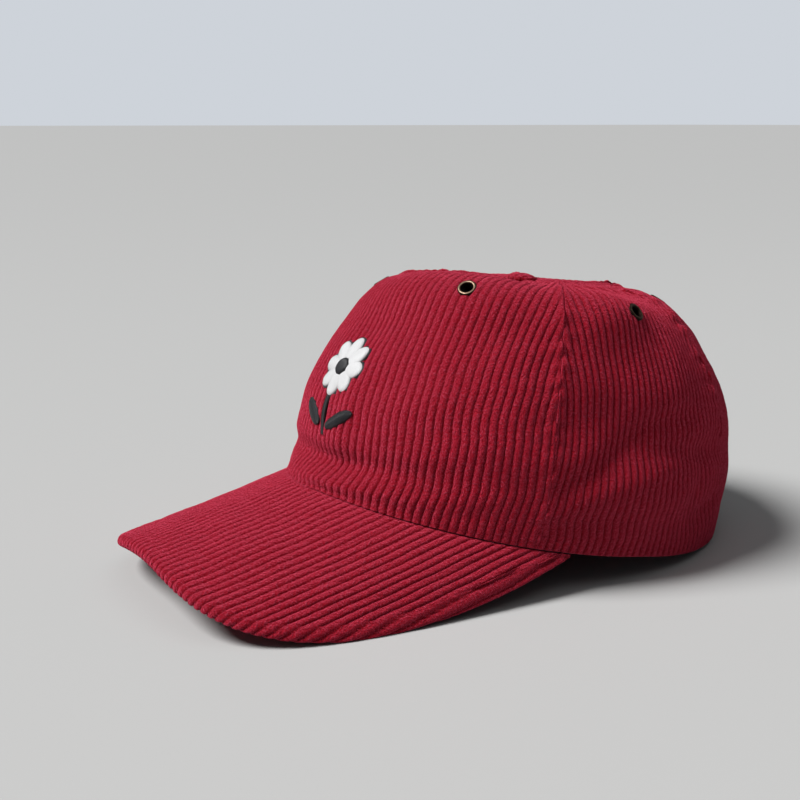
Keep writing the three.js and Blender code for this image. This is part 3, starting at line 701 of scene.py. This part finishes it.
def panel(name, node, cloth, middle, low_seam, high_seam, seed, row_spacing=1.25, arch=False):
    """Panel of corduroy between two seams. Its columns are lines of equal distance from the middle
    line, measured along the cloth's grain, and the wales run along them and are cut off where a seam
    crosses them."""
    climbs = hem_rows(row_spacing)
    table = np.linspace(min(low_seam(0.0), low_seam(1.0)) - 1, max(high_seam(0.0), high_seam(1.0)) + 1, 301)
    spots = crown_point(table[None, :], climbs[:, None])
    steps = np.linalg.norm(np.diff(spots, axis=1), axis=2)
    arc = np.concatenate([np.zeros((len(climbs), 1)), np.cumsum(steps, axis=1)], axis=1)
    arc -= np.array([np.interp(middle, table, row) for row in arc])[:, None]
    left, right = ("front_left", "front_right") if cloth == "front" else ("side", "side")
    arc /= np.where(arc > 0, grain(climbs, left)[:, None], grain(climbs, right)[:, None])
    if cloth != "back":
        arc -= grain(climbs, cloth + "_drift")[:, None] * (1 if middle >= 0 else -1)
    low = np.array([np.interp(low_seam(climb), table, row) for climb, row in zip(climbs, arc)])
    high = np.array([np.interp(high_seam(climb), table, row) for climb, row in zip(climbs, arc)])
    step = WALE_PITCH / PER_WALE
    across = np.arange(np.floor(low.min() / step), np.ceil(high.max() / step) + 1) * step
    placed = np.clip(across[:, None], low[None, :], high[None, :])
    azimuth = np.stack([np.interp(line, row, table) for line, row in zip(placed.T, arc)], axis=1)
    foot = arch_foot(azimuth[:, 0]) if arch else np.zeros(len(across))
    climb = np.maximum(climbs[None, :], foot[:, None])

    along = climb * CLOTH_CLIMB_LENGTH
    to_seam = np.minimum(placed - low[None, :], high[None, :] - placed)
    to_hem = edge_distance(azimuth, climb) if arch else along
    body = wale_body(placed, along, seed)
    high_up = np.clip((climb - 0.3) / 0.25, 0, 1)
    near_top = np.clip((0.88 - climb) / 0.12, 0, 1)
    body = body + (0.75 - body) * 0.7 * np.exp(-(to_seam / 1.6) ** 2)
    body = body + (0.6 - body) * 0.8 * np.exp(-(to_hem / 0.9) ** 2)
    gathered = (0.3 + 0.6 * high_up) * ripple(placed / 40 + seed, along / 7.5, seed + 2) * np.exp(-to_seam / 4.5)
    slack = 0.35 * ripple(placed / 34, along / 30, seed + 3) * np.clip(along / 12, 0, 1)
    slack += fold_height(azimuth, climb, CREASES)
    slack *= near_top
    raised = (0.6 + 0.7 * high_up) * np.exp(-(to_seam / 4) ** 2) * np.clip(along / 10, 0, 1)
    turn = rolled_edge(np.clip(to_hem, 0, None), 1.3) + rolled_edge(to_seam, 0.22)
    gathered *= near_top
    lift = WALE_PROUD - WALE_RELIEF * (1 - body) + gathered + slack + raised - turn
    outer = cloth_point(azimuth, climb, lift)

    columns = np.unique(np.round(np.linspace(0, len(across) - 1, len(across) // 5)).astype(int))
    rows = np.unique(np.round(np.linspace(0, len(climbs) - 1, 40)).astype(int))
    part = np.ix_(columns, rows)
    inner = cloth_point(azimuth[part], climb[part], (slack + gathered * 0.5)[part] - CLOTH)
    start = np.maximum(np.searchsorted(climbs, foot, "right") - 1, 0)
    inner_start = np.maximum(np.searchsorted(climbs[rows], foot[columns], "right") - 1, 0)
    points, triangles = shell(
        outer, inner, trimmed(across, low, high, start),
        trimmed(across[columns], low[rows], high[rows], inner_start), columns, rows)
    wale = np.concatenate([body.reshape(-1), np.full(inner.size // 3, 0.35)])
    return put(name, points, triangles, CORDUROY, [node], {"wale": wale})


def front_seam(climb):
    return FRONT_SEAM_HEM + (FRONT_SEAM_TOP - FRONT_SEAM_HEM) * climb


def make_crown():
    side_middle = (FRONT_SEAM_TOP + BACK_SEAM) / 2
    back_middle = (BACK_SEAM + 180) / 2
    return [
        panel("front_corduroy", "front_panel", "front", 0,
              lambda climb: -front_seam(climb), front_seam, 11),
        panel("side_corduroy_left", "side_panel_left", "side", side_middle,
              front_seam, lambda climb: BACK_SEAM, 21),
        panel("side_corduroy_right", "side_panel_right", "side", -side_middle,
              lambda climb: -BACK_SEAM, lambda climb: -front_seam(climb), 31),
        panel("back_corduroy_left", "back_panel_left", "back", back_middle,
              lambda climb: BACK_SEAM, lambda climb: 180.0, 41, arch=True),
        panel("back_corduroy_right", "back_panel_right", "back", -back_middle,
              lambda climb: -180.0, lambda climb: -BACK_SEAM, 51, arch=True),
    ]


# Eyelets

EYELET_BORE = 4.6
EYELET_FLANGE = 7.8
EYELETS = (("front", 32.4, 0.646, 0), ("side", 93.8, 0.623, 1), ("back", 152.0, 0.66, 3))
SIDES = (("left", 1), ("right", -1))


def eyelet_seat(azimuth, climb):
    seat = cloth_point(azimuth, climb, fold_height(azimuth, climb, CREASES))
    return turned(seat, cloth_normal(azimuth, climb))


def arc_points(middle, radii, start, stop, count):
    """Points of an oval arc, angles in degrees from the first axis."""
    angle = np.radians(np.linspace(start, stop, count))
    return np.stack([middle[0] + radii[0] * np.cos(angle), middle[1] + radii[1] * np.sin(angle)], -1)


def make_eyelet(place, side, azimuth, climb):
    """Rolled brass ring: an oval bead over the cloth, a barrel, and a clinched flange inside."""
    bore, flange = EYELET_BORE / 2, EYELET_FLANGE / 2
    bead = (flange - bore) / 2
    profile = np.concatenate([
        [(bore, -4.3), (flange - 0.5, -4.3), (flange - 0.3, -3.9), (bore + 0.5, -3.7), (bore + 0.5, -0.5)],
        [(flange - 0.05, -0.75)],
        arc_points((bore + bead, -0.25), (bead, 0.75), 0, 180, 15),
    ])
    points, triangles = spun(profile, 56)
    height = np.tile(profile[:, 1], 56)
    middle, axes = eyelet_seat(azimuth, climb)
    put(f"eyelet_{place}_{side}_ring", points @ axes + middle, triangles, BRASS,
        [f"eyelet_{place}_{side}"], {"wear_and_glint": np.clip(height / 0.5, 0, 1)})


def pierce(piece, azimuth, climb):
    """Cuts the round hole that an eyelet passes through."""
    radius = EYELET_BORE / 2 + 0.35
    profile = [(0, -8), (radius, -8), (radius, 8), (0, 8)]
    angle = np.linspace(0, 2 * np.pi, 40, endpoint=False)
    ring = np.stack([np.cos(angle) * radius, np.sin(angle) * radius], -1)
    corners = np.concatenate([np.c_[ring, np.full(40, profile[0][1])], np.c_[ring, np.full(40, profile[2][1])]])
    middle, axes = eyelet_seat(azimuth, climb)
    turn = np.arange(40)
    sides = np.stack([turn, (turn + 1) % 40, (turn + 1) % 40 + 40, turn + 40], -1).tolist()
    mesh = bpy.data.meshes.new("drill")
    mesh.from_pydata(((corners @ axes + middle + SHIFT) * MM).tolist(), [],
                     sides + [list(range(39, -1, -1)), list(range(40, 80))])
    drill = bpy.data.objects.new("drill", mesh)
    bpy.context.collection.objects.link(drill)
    cut = piece.modifiers.new("hole", "BOOLEAN")
    cut.object = drill
    cut.operation = "DIFFERENCE"
    cut.solver = "MANIFOLD"
    finished = bpy.data.meshes.new_from_object(piece.evaluated_get(bpy.context.evaluated_depsgraph_get()))
    piece.modifiers.clear()
    old = piece.data
    piece.data = finished
    bpy.data.meshes.remove(old)
    bpy.data.objects.remove(drill)
    bpy.data.meshes.remove(mesh)


def make_eyelets(panels):
    for place, azimuth, climb, number in EYELETS:
        for offset, (side, sign) in enumerate(SIDES):
            make_eyelet(place, side, sign * azimuth, climb)
            panel_number = 0 if place == "front" else number + offset
            pierce(panels[panel_number], sign * azimuth, climb)


# Peak

def joint_azimuth(x):
    """Azimuth at which the hem reaches a distance to the side."""
    return np.degrees(np.arcsin(np.clip(2 * x / CROWN_WIDTH, -1, 1)))


JOINT_END = crown_point(PEAK_END_AZIMUTH, 0)
PEAK_DEPTH = JOINT_END[1] - peak_front
PEAK_THICK = PEAK_COVER + PIECE_GAP + PEAK_UNDER


def peak_outline():
    """Plan outline of the peak from its right end round the front to its left end: a superellipse
    that widens a little towards the joint. Gives x, y and the length along it."""
    side = np.linspace(-1, 1, 6001)
    angle = np.sign(side) * (1 - (1 - np.abs(side)) ** 3) * np.pi / 2
    power = 2 / PEAK_SQUARENESS
    forward = PEAK_DEPTH * np.abs(np.cos(angle)) ** power
    half = PEAK_WIDTH / 2
    flare = 1 - (1 - JOINT_END[0] / half) * np.exp(-forward / (PEAK_REACH / 4))
    x = half * flare * np.sign(side) * np.abs(np.sin(angle)) ** power
    y = JOINT_END[1] - forward
    length = np.concatenate([[0], np.cumsum(np.hypot(np.diff(x), np.diff(y)))])
    return x, y, length


def peak_height(x, y):
    """Upper face of the peak: it falls forward from the joint and flattens towards its front."""
    joint = crown_point(joint_azimuth(x), 0)
    share = np.maximum(0, joint[..., 1] - y) / PEAK_REACH
    return joint[..., 2] - PIECE_GAP - PEAK_FALL * share + PEAK_DISH * share ** 2


# Spacing of the peak's wales, as a share of WALE_PITCH, by share of the way from its middle to its side
PEAK_GRAIN = ((0.0, 0.95), (0.4, 0.94), (0.75, 0.86), (1.0, 0.77))


def across_length(x):
    """Length across the peak's bowed cloth from its middle line, stretched by its grain, on which its
    wales are spaced."""
    table = np.linspace(0, PEAK_WIDTH / 2, 400)
    height = peak_height(table, peak_front + PEAK_REACH / 2)
    spacing = np.interp(table[1:] / table[-1], *zip(*PEAK_GRAIN))
    length = np.concatenate([[0], np.cumsum(np.hypot(np.diff(table), np.diff(height)) / spacing)])
    return np.sign(x) * np.interp(np.abs(x), table, length)


def peak_columns(per_wale, side_step=1.5):
    """Columns of the peak by their place on the outline, spaced by the wales in front and evenly round
    the sides. Gives each one's outline point and outward direction."""
    x, y, length = peak_outline()
    wales = np.abs(np.diff(across_length(x))) / (WALE_PITCH / per_wale)
    count = np.concatenate([[0], np.cumsum(np.maximum(wales, np.diff(length) / side_step))])
    first, last = np.interp([PEAK_TIP, length[-1] - PEAK_TIP], length, count)
    at = np.interp(np.linspace(first, last, int(last - first) // 2 * 2 + 1), count, length)
    point = np.stack([np.interp(at, length, x), np.interp(at, length, y)], -1)
    ahead = np.stack([np.interp(at + 0.5, length, x), np.interp(at + 0.5, length, y)], -1)
    behind = np.stack([np.interp(at - 0.5, length, x), np.interp(at - 0.5, length, y)], -1)
    along = unit(ahead - behind)
    return point, np.stack([along[:, 1], -along[:, 0]], -1)


def outline_distance(x, y):
    """Distance in from the peak's outline, from the size of the superellipse through a point."""
    half = PEAK_WIDTH / 2
    forward = np.maximum(JOINT_END[1] - y, 1e-3)
    side = np.abs(x) / half
    ahead = forward / PEAK_DEPTH
    size = (side ** PEAK_SQUARENESS + ahead ** PEAK_SQUARENESS) ** (1 / PEAK_SQUARENESS)
    steep = np.hypot((side / size) ** (PEAK_SQUARENESS - 1) / half,
                     (ahead / size) ** (PEAK_SQUARENESS - 1) / PEAK_DEPTH)
    return (1 - size) / steep


def lattice_normals(points):
    """Direction across a lattice: the step along its columns crossed with the step along its rows."""
    return unit(np.cross(np.gradient(points, axis=0), np.gradient(points, axis=1)))


STITCH_ROWS = 7
STITCH_SPACING = 8.0
PEAK_TIP_THIN = 0.25
PEAK_TIP_TAPER = 30.0


def stitch_dip(distance):
    """Dent of the stitch rows that follow the peak's edge: a narrow trough at each row."""
    row = np.round(distance / STITCH_SPACING)
    off = distance - row * STITCH_SPACING
    live = (row >= 1) & (row <= STITCH_ROWS)
    return live * np.exp(-(off / 0.7) ** 2)


def make_peak_cover():
    """Cover of the peak: wales run straight from the joint to the front and turn down round the edge,
    which thins out towards the two tips."""
    point, outward = peak_columns(PER_WALE)
    under_crown = cloth_point(joint_azimuth(point[:, 0]), 0.0, -CLOTH)
    joint = crown_point(joint_azimuth(point[:, 0]), 0)
    from_tip = joint[:, 1] - point[:, 1]
    grown = np.clip(from_tip / PEAK_TIP_TAPER, 0, 1)
    full = PEAK_TIP_THIN + (1 - PEAK_TIP_THIN) * grown * (2 - grown)
    lip = PEAK_LIP * full[:, None]
    end = point - outward * lip
    share = np.concatenate([[0, 0.004, 0.01, 0.02], np.linspace(0.035, 1, 74)])
    x = point[:, None, 0] + (end[:, None, 0] - point[:, None, 0]) * share
    y = joint[:, None, 1] + (end[:, None, 1] - joint[:, None, 1]) * share
    top = np.stack([x, y, peak_height(x, y)], -1)
    round_angle = np.linspace(0, np.pi, 19)[1:]
    inset = lip * (1 - np.sin(round_angle) ** 0.9)
    drop = PEAK_THICK * full[:, None] * (1 - np.cos(round_angle)) / 2
    rim_plan = point[:, None, :] - outward[:, None, :] * inset[..., None]
    rim = np.concatenate([rim_plan, (peak_height(rim_plan[..., 0], rim_plan[..., 1]) - drop)[..., None]], -1)
    back = under_crown.copy()
    back[:, 2] = joint[:, 2] - PIECE_GAP
    smooth = np.concatenate([back[:, None], top, rim], axis=1)

    rows_top = 1 + len(share)
    round_edge = np.cumsum(np.hypot(np.diff(inset, axis=1, prepend=lip),
                                    np.diff(drop, axis=1, prepend=0.0)), axis=1)
    along = np.concatenate([np.zeros((len(point), 1)), joint[:, None, 1] - y,
                            (joint[:, None, 1] - y[:, -1:]) - outward[:, 1:] * round_edge], axis=1)
    across = across_length(x)
    round_wales = outward[:, :1] * round_edge / PEAK_GRAIN[-1][1]
    across = np.concatenate([across[:, :1], across, across[:, -1:] + round_wales], axis=1)
    body = wale_body(across, along, 71)
    body = body + (0.6 - body) * 0.8 * np.exp(-(along / 0.9) ** 2)
    edge = outline_distance(smooth[..., 0], smooth[..., 1])
    edge[:, rows_top:] = 0
    stitches = stitch_dip(edge) * np.clip(along / 6, 0, 1)
    body = body * (1 - 0.2 * stitches)
    slack = 0.3 * ripple(smooth[..., 0] / 30, smooth[..., 1] / 24, 73)
    slack = slack * np.clip(edge / 8, 0, 1) * np.clip(along / 8, 0, 1)
    lift = WALE_PROUD - WALE_RELIEF * (1 - body) + slack - 0.08 * stitches
    lift[:, 0] = -0.3
    lift *= np.clip((smooth.shape[1] - 1 - np.arange(smooth.shape[1])) / 2, 0, 1)[None, :]
    outer = smooth - lattice_normals(smooth) * lift[..., None]

    columns = np.unique(np.round(np.linspace(0, len(point) - 1, 120)).astype(int))
    rows = np.unique(np.concatenate([np.arange(0, rows_top, 6), [rows_top - 1],
                                     np.arange(rows_top + 1, smooth.shape[1], 3), [smooth.shape[1] - 1]]))
    lip_x, lip_y = end[columns, 0][:, None], end[columns, 1][:, None]
    inner = smooth[np.ix_(columns, rows)].copy()
    past_lip = rows[None, :] >= rows_top
    cover = PEAK_COVER * full[columns, None]
    inner[..., 2] -= np.where(past_lip, 0, cover)
    down = np.concatenate([np.zeros((len(point), rows_top)), drop], axis=1)[np.ix_(columns, rows)]
    inner[..., 0] = np.where(past_lip, lip_x, inner[..., 0])
    inner[..., 1] = np.where(past_lip, lip_y, inner[..., 1])
    inner[..., 2] = np.where(past_lip, peak_height(lip_x, lip_y) - np.maximum(down, cover), inner[..., 2])
    points, triangles = shell(outer, inner, columns=columns, rows=rows)
    wale = np.concatenate([body.reshape(-1), np.full(inner.size // 3, 0.3)])
    put("peak_corduroy", points, triangles[:, ::-1], CORDUROY, ["peak_cover"], {"wale": wale})


def make_peak_underside():
    """Cloth of the peak's underside, with wales like the cover's, over the board."""
    point, outward = peak_columns(6, side_step=3.0)
    end = point - outward * (PEAK_LIP + PIECE_GAP)
    joint = crown_point(joint_azimuth(end[:, 0]), 0)
    keep = joint[:, 1] - end[:, 1] > PEAK_LIP
    end, joint = end[keep], joint[keep]
    share = np.concatenate([[0], np.linspace(0.02, 0.98, 44), [1]])
    x = np.repeat(end[:, :1], len(share), axis=1)
    y = joint[:, None, 1] + (end[:, None, 1] - joint[:, None, 1]) * share
    top = PEAK_COVER + PIECE_GAP
    height = peak_height(x, y)
    body = wale_body(across_length(x), y, 83) * np.clip(outline_distance(x, y) / 4, 0.3, 1)
    lift = 0.15 - 0.7 * (1 - body)
    outer = np.stack([x, y, height - top - PEAK_UNDER - lift * 0.8], -1)
    inner = np.stack([x, y, height - top], -1)
    columns = np.unique(np.round(np.linspace(0, len(end) - 1, 60)).astype(int))
    rows = np.arange(0, len(share), 5)
    rows = np.unique(np.append(rows, len(share) - 1))
    points, triangles = shell(outer, inner[np.ix_(columns, rows)], columns=columns, rows=rows)
    wale = np.concatenate([body.reshape(-1), np.full(len(columns) * len(rows), 0.3)])
    put("peak_underside_corduroy", points, triangles, CORDUROY, ["peak_underside"],
        {"wale": wale})


# Button

BUTTON_DIAMETER = 13.0
BUTTON_HEIGHT = 3.5


def make_button():
    """Covered button: a low dome with a rolled rim, and the wales of its cover running across it."""
    flat = arc_points((0, 0), (0.92, 0.62), 90, 22, 24)
    rim = arc_points((0.84, 0.0), (0.16, 0.34), 45, -90, 12)
    top_profile = np.concatenate([flat * [0.99, 1.0], rim])
    radius = top_profile[:, 0] * BUTTON_DIAMETER / 2
    height = (top_profile[:, 1] - top_profile[:, 1].min())
    height = height / height.max() * BUTTON_HEIGHT
    angle = np.linspace(0, 2 * np.pi, 121)[:, None]
    x, y = np.cos(angle) * radius, np.sin(angle) * radius
    body = wale_body(x * 1.15, y, 91)
    outer = np.stack([x, y, np.zeros_like(x) + height], -1)
    index = np.arange(outer.shape[0] * outer.shape[1]).reshape(outer.shape[:2])
    index[-1] = index[0]
    index[:, 0] = index[0, 0]
    normals = -unit(np.cross(np.gradient(outer, axis=0), np.gradient(outer, axis=1) + 1e-9))
    normals[:, 0] = (0, 0, 1)
    normals[-1] = normals[0]
    gather = 0.12 * np.cos(angle * 16) * np.clip(radius / radius.max() - 0.6, 0, 1)
    lift = 0.1 - 0.55 * (1 - body) + gather
    lift[:, 0] = lift[0, 0]
    outer = outer + normals * lift[..., None]
    base = np.array([[0, 0, 0.0]])
    centre = len(outer.reshape(-1, 3))
    ring = index[:, -1]
    floor = np.stack([ring[1:], ring[:-1], np.full(len(ring) - 1, centre)], -1)
    points = np.concatenate([outer.reshape(-1, 3), base])
    triangles = drop_slivers(np.concatenate([lattice_triangles(index)[:, ::-1], floor[:, ::-1]]))
    middle, axes = turned(crown_point(0, 1), [0, TOP_TILT / (CROWN_LENGTH / 2), 1])
    placed = points @ axes + middle + axes[2] * PIECE_GAP
    wale = np.append(body.reshape(-1), 0.3)
    put("button_corduroy", placed, triangles, CORDUROY, ["top_button"], {"wale": wale})


# Inside and back

BAND_HEIGHT = 30.0
BAND_THICKNESS = 1.2
BAND_LIFT = 2.0
BAND_BACK_GAP = 3.0
INNER_GAP = 0.6
STRAP_HEIGHT = 20.0
STRAP_THICKNESS = 1.5
STRAP_TUCK = 15.0
STRAP_LIFT = 1.0
ARCH_AZIMUTH = float(azimuth_step(ARCH_WIDTH / 2, 180 - 15, 0.0))
STRAP_END = ARCH_AZIMUTH + float(azimuth_step(STRAP_TUCK, BACK_SEAM, 0.0))


def make_sweatband():
    """Strip of twill inside the hem."""
    end = 180 - STRAP_END - float(azimuth_step(BAND_BACK_GAP, BACK_SEAM, 0.0))
    azimuth = np.linspace(-end, end, 361)[:, None]
    up = np.linspace(0, 1, 15)[None, :]
    climb = (BAND_LIFT + BAND_HEIGHT * up) / CLOTH_CLIMB_LENGTH
    azimuth, climb = np.broadcast_arrays(azimuth, climb)
    pucker = 0.25 * ripple(azimuth / 6, up * 1.2, 61) * (1 - up)
    depth = CLOTH + INNER_GAP
    faces = [cloth_point(azimuth, climb, -depth - BAND_THICKNESS * (1 - 0.25 * (up == 1)) + pucker * 0),
             cloth_point(azimuth, climb, -depth + 0 * pucker)]
    points, triangles = shell(faces[1], faces[0])
    put("sweatband_twill", points, triangles, BAND_CLOTH, ["sweatband"])


STUD_SPACING = 8.5
STUD_RADIUS = 2.0
STUD_ROWS = (5.5, 14.5)


def make_strap():
    """Snap strap: two plastic strips that overlap in the middle, with two rows of round snaps. The
    outer strip ends in a rounded tongue, and each snap is a dome with a low ring round it."""
    azimuth = 180 + STRAP_END * np.linspace(-1, 1, 561)[:, None]
    up = np.linspace(0, 1, 57)[None, :]
    climb = (STRAP_LIFT + STRAP_HEIGHT * up) / CLOTH_CLIMB_LENGTH
    azimuth, climb = np.broadcast_arrays(azimuth, climb)
    along = (azimuth - 180) * (ARCH_WIDTH / 2) / ARCH_AZIMUTH
    across = np.broadcast_to(STRAP_HEIGHT * up, along.shape)
    overlap = 0.62 * ARCH_WIDTH / 2
    tongue = np.abs(across - STRAP_HEIGHT / 2)
    end = overlap - np.maximum(0, tongue - 4) ** 2 / 12
    covered = np.clip((end - along) / 0.5, 0, 1) * np.clip((along + overlap) / 0.5, 0, 1)
    level = STRAP_THICKNESS * (covered - 0.02) + 0.03
    nearest = np.round(along / STUD_SPACING - 0.5) + 0.5
    reach = np.full(along.shape, 99.0)
    for row in STUD_ROWS:
        reach = np.minimum(reach, np.hypot(along - nearest * STUD_SPACING, across - row))
    dome = 0.9 * np.sqrt(np.clip(1 - (reach / STUD_RADIUS) ** 4, 0, 1))
    ring = 0.25 * np.exp(-((reach - STUD_RADIUS - 0.35) / 0.3) ** 2)
    on_strap = np.abs(along) < ARCH_WIDTH / 2 + 2
    edge = np.minimum(across, STRAP_HEIGHT - across)
    relief = (dome + ring) * on_strap - rolled_edge(edge, 0.5)
    depth = CLOTH + INNER_GAP
    outer = cloth_point(azimuth, climb, -depth + level - STRAP_THICKNESS * 0.02 + relief)
    inner = cloth_point(azimuth, climb, -depth - STRAP_THICKNESS + 0 * along)
    columns, rows = np.arange(0, 561, 8), np.arange(0, 57, 8)
    points, triangles = shell(outer, inner[np.ix_(columns, rows)], columns=columns, rows=rows)
    put("snap_strap_moulded", points, triangles, STRAP_PLASTIC, ["snap_strap"])


# Embroidery

FLOWER_DIAMETER = 27.0
FLOWER_CLIMB = 0.455
STEM_LENGTH = 30.0
STEM_WIDTH = 2.0
LEAF_LENGTH = 17.0
PETALS = 8
STRAND = 0.42


def front_point(across, above, lift):
    """Point of the front panel at a distance to the side and above the flower's middle."""
    climb = FLOWER_CLIMB + above / CLOTH_CLIMB_LENGTH
    return cloth_point(azimuth_step(across, 0.0, climb), climb, lift)


def satin_blade(middle, heading_angle, length, half_width, low, high, slant=0.0, point=0.8, rows=90):
    """Blade of satin stitch: threads laid across a midline from its root to its tip. The outline is
    an oval that is fuller towards the tip, and the top is rounded over. Gives corners, triangles
    and each corner's strand number."""
    down = np.linspace(0, 1, rows)[None, :]
    side = np.linspace(-1, 1, 17)[:, None]
    width = half_width * np.sqrt(np.clip(1 - np.abs(2 * down ** point - 1) ** 2.3, 0, 1))
    strand = (down * length + slant * np.abs(side) * width) / STRAND
    width = width * (1 + 0.035 * np.sin(2 * np.pi * strand))
    turn = np.radians(heading_angle)
    local_x, local_y = side * width, down * length + 0 * side
    across = middle[0] + np.cos(turn) * local_y - np.sin(turn) * local_x
    above = middle[1] + np.sin(turn) * local_y + np.cos(turn) * local_x
    swell = (1 - np.abs(side) ** 2.5) ** 0.6 * np.clip(width / half_width * 1.4, 0, 1)
    top = low + (high - low) * swell + 0.035 * np.cos(2 * np.pi * strand) * swell
    outer = front_point(across, above, top)
    columns, rows_kept = np.arange(0, 17, 4), np.unique(np.append(np.arange(0, rows, 8), rows - 1))
    part = np.ix_(columns, rows_kept)
    inner = front_point(across[part], above[part], np.full(across[part].shape, low - 0.5))
    index = np.arange(across.size).reshape(across.shape)
    inner_index = np.arange(inner.size // 3).reshape(inner.shape[:2])
    for lattice in (index, inner_index):
        lattice[:, 0] = lattice[0, 0]
        lattice[:, -1] = lattice[0, -1]
    points, triangles = shell(outer, inner, index, inner_index, columns, rows_kept)
    strands = np.concatenate([(strand + 0 * across).reshape(-1), np.zeros(inner.size // 3)])
    return points, triangles[:, ::-1], strands


def put_blades(name, blades, material, nodes=()):
    points, triangles = joined([blade[:2] for blade in blades])
    strands = np.concatenate([blade[2] for blade in blades])
    return put(name, points, triangles, material, nodes, {"strand": strands})


def make_flower():
    """Eight white petals over a dark scalloped ground that shows between them, and a dark middle."""
    radius = FLOWER_DIAMETER / 2
    turns = [360 * number / PETALS for number in range(PETALS)]
    petals = [
        satin_blade((3.2 * np.cos(np.radians(turn)), 3.2 * np.sin(np.radians(turn))), turn,
                    radius - 3.9, 3.75, 0.35, 1.25, slant=0.15)
        for turn in turns
    ]
    put_blades("flower_petals", petals, WHITE_THREAD, ["embroidered_flower"])
    ground = [
        satin_blade((2.2 * np.cos(np.radians(turn)), 2.2 * np.sin(np.radians(turn))), turn,
                    radius - 2.2, 4.6, 0.1, 0.6, slant=0.15, rows=70)
        for turn in turns
    ]
    put_blades("flower_outline", ground, DARK_THREAD)
    middle = [satin_blade((-3.6, 0), 0, 7.2, 3.6, 0.9, 1.9, point=1.0, rows=70)]
    put_blades("flower_middle", middle, DARK_THREAD)


def make_stem_and_leaves():
    """Dark stem that bends to one side, and two dark leaves."""
    top = -FLOWER_DIAMETER / 2 - STEM_WIDTH / 2
    down = np.linspace(0, 1, 60)[None, :]
    side = np.linspace(-1, 1, 11)[:, None]
    length = STEM_LENGTH - FLOWER_DIAMETER / 2
    bend = STEM_WIDTH * 2 * (1 - np.cos(down * 1.6))
    width = STEM_WIDTH / 2 * (1 + 0.15 * np.cos(down * 3))
    across, above = bend + side * width, top + 1.4 - (length + 1.4) * down + 0 * side
    strand = (down * length + side * width * 0.8) / STRAND
    swell = (1 - np.abs(side) ** 2.5) ** 0.6 + 0 * down
    outer = front_point(across, above, 0.3 + 0.8 * swell + 0.04 * np.cos(2 * np.pi * strand))
    inner = front_point(across, above, np.full(across.shape, -0.3))
    points, triangles = shell(outer, inner)
    strands = np.concatenate([strand.reshape(-1), strand.reshape(-1)])
    put("stem_stitches", points, triangles[:, ::-1], DARK_THREAD, ["embroidered_stem"],
        {"strand": strands})
    for side_name, sign in SIDES:
        lean = 35 if sign > 0 else 145
        middle = (sign * LEAF_LENGTH * 0.58 + STEM_WIDTH * 0.8, top - LEAF_LENGTH * 0.45)
        turn = np.radians(lean)
        root = (middle[0] - np.cos(turn) * LEAF_LENGTH / 2, middle[1] - np.sin(turn) * LEAF_LENGTH / 2)
        blade = satin_blade(root, lean, LEAF_LENGTH, 3.1, 0.3, 1.1, slant=0.7, point=0.9, rows=120)
        put_blades(f"leaf_stitches_{side_name}", [blade], DARK_THREAD,
                   [f"embroidered_leaf_{side_name}"])


# Stage

KEY_AZIMUTH = -18.0
KEY_ELEVATION = 52.0
KEY_STRENGTH = 5.0
KEY_SPREAD = 24.0
SKY_STRENGTH = 0.1
BACKDROP_STRENGTH = 0.7


def make_stage():
    """Wide pale floor, a soft distant key light from the upper left of the view, a weak fill, and a
    sky that is dimmer as a light than as the backdrop."""
    reach = 60.0
    mesh = bpy.data.meshes.new("floor")
    mesh.from_pydata([(-reach, -reach, 0), (reach, -reach, 0), (reach, reach, 0), (-reach, reach, 0)],
                     [], [(0, 1, 2, 3)])
    floor = bpy.data.objects.new("floor", mesh)
    bpy.context.collection.objects.link(floor)
    material, _, _ = new_material("pale_floor", linear(172, 172, 171), 0.75)
    mesh.materials.append(material)
    key = bpy.data.objects.new("key", bpy.data.lights.new("key", "SUN"))
    key.data.energy = KEY_STRENGTH
    key.data.angle = np.radians(KEY_SPREAD)
    aim(key, heading(KEY_AZIMUTH, KEY_ELEVATION), (0, 0, 0))
    fill = bpy.data.objects.new("fill", bpy.data.lights.new("fill", "AREA"))
    fill.data.size = 1.4
    fill.data.energy = 3.4
    aim(fill, heading(100, 72) * 1.6, (0, 0, 0.05))

    world = bpy.data.worlds.new("studio")
    world.use_nodes = True
    tree = world.node_tree
    background = tree.nodes["Background"]
    background.inputs["Color"].default_value = (0.88, 0.93, 1.0, 1)
    seen = add_node(tree, "ShaderNodeLightPath").outputs["Is Camera Ray"]
    strength = math(tree, "MULTIPLY_ADD", seen, BACKDROP_STRENGTH - SKY_STRENGTH, SKY_STRENGTH)
    tree.links.new(strength, background.inputs["Strength"])
    bpy.context.scene.world = world
    bpy.context.scene.view_settings.view_transform = "Standard"


panels = make_crown()
make_eyelets(panels)
make_peak_cover()
make_peak_underside()
make_button()
make_sweatband()
make_strap()
make_flower()
make_stem_and_leaves()
make_stage()
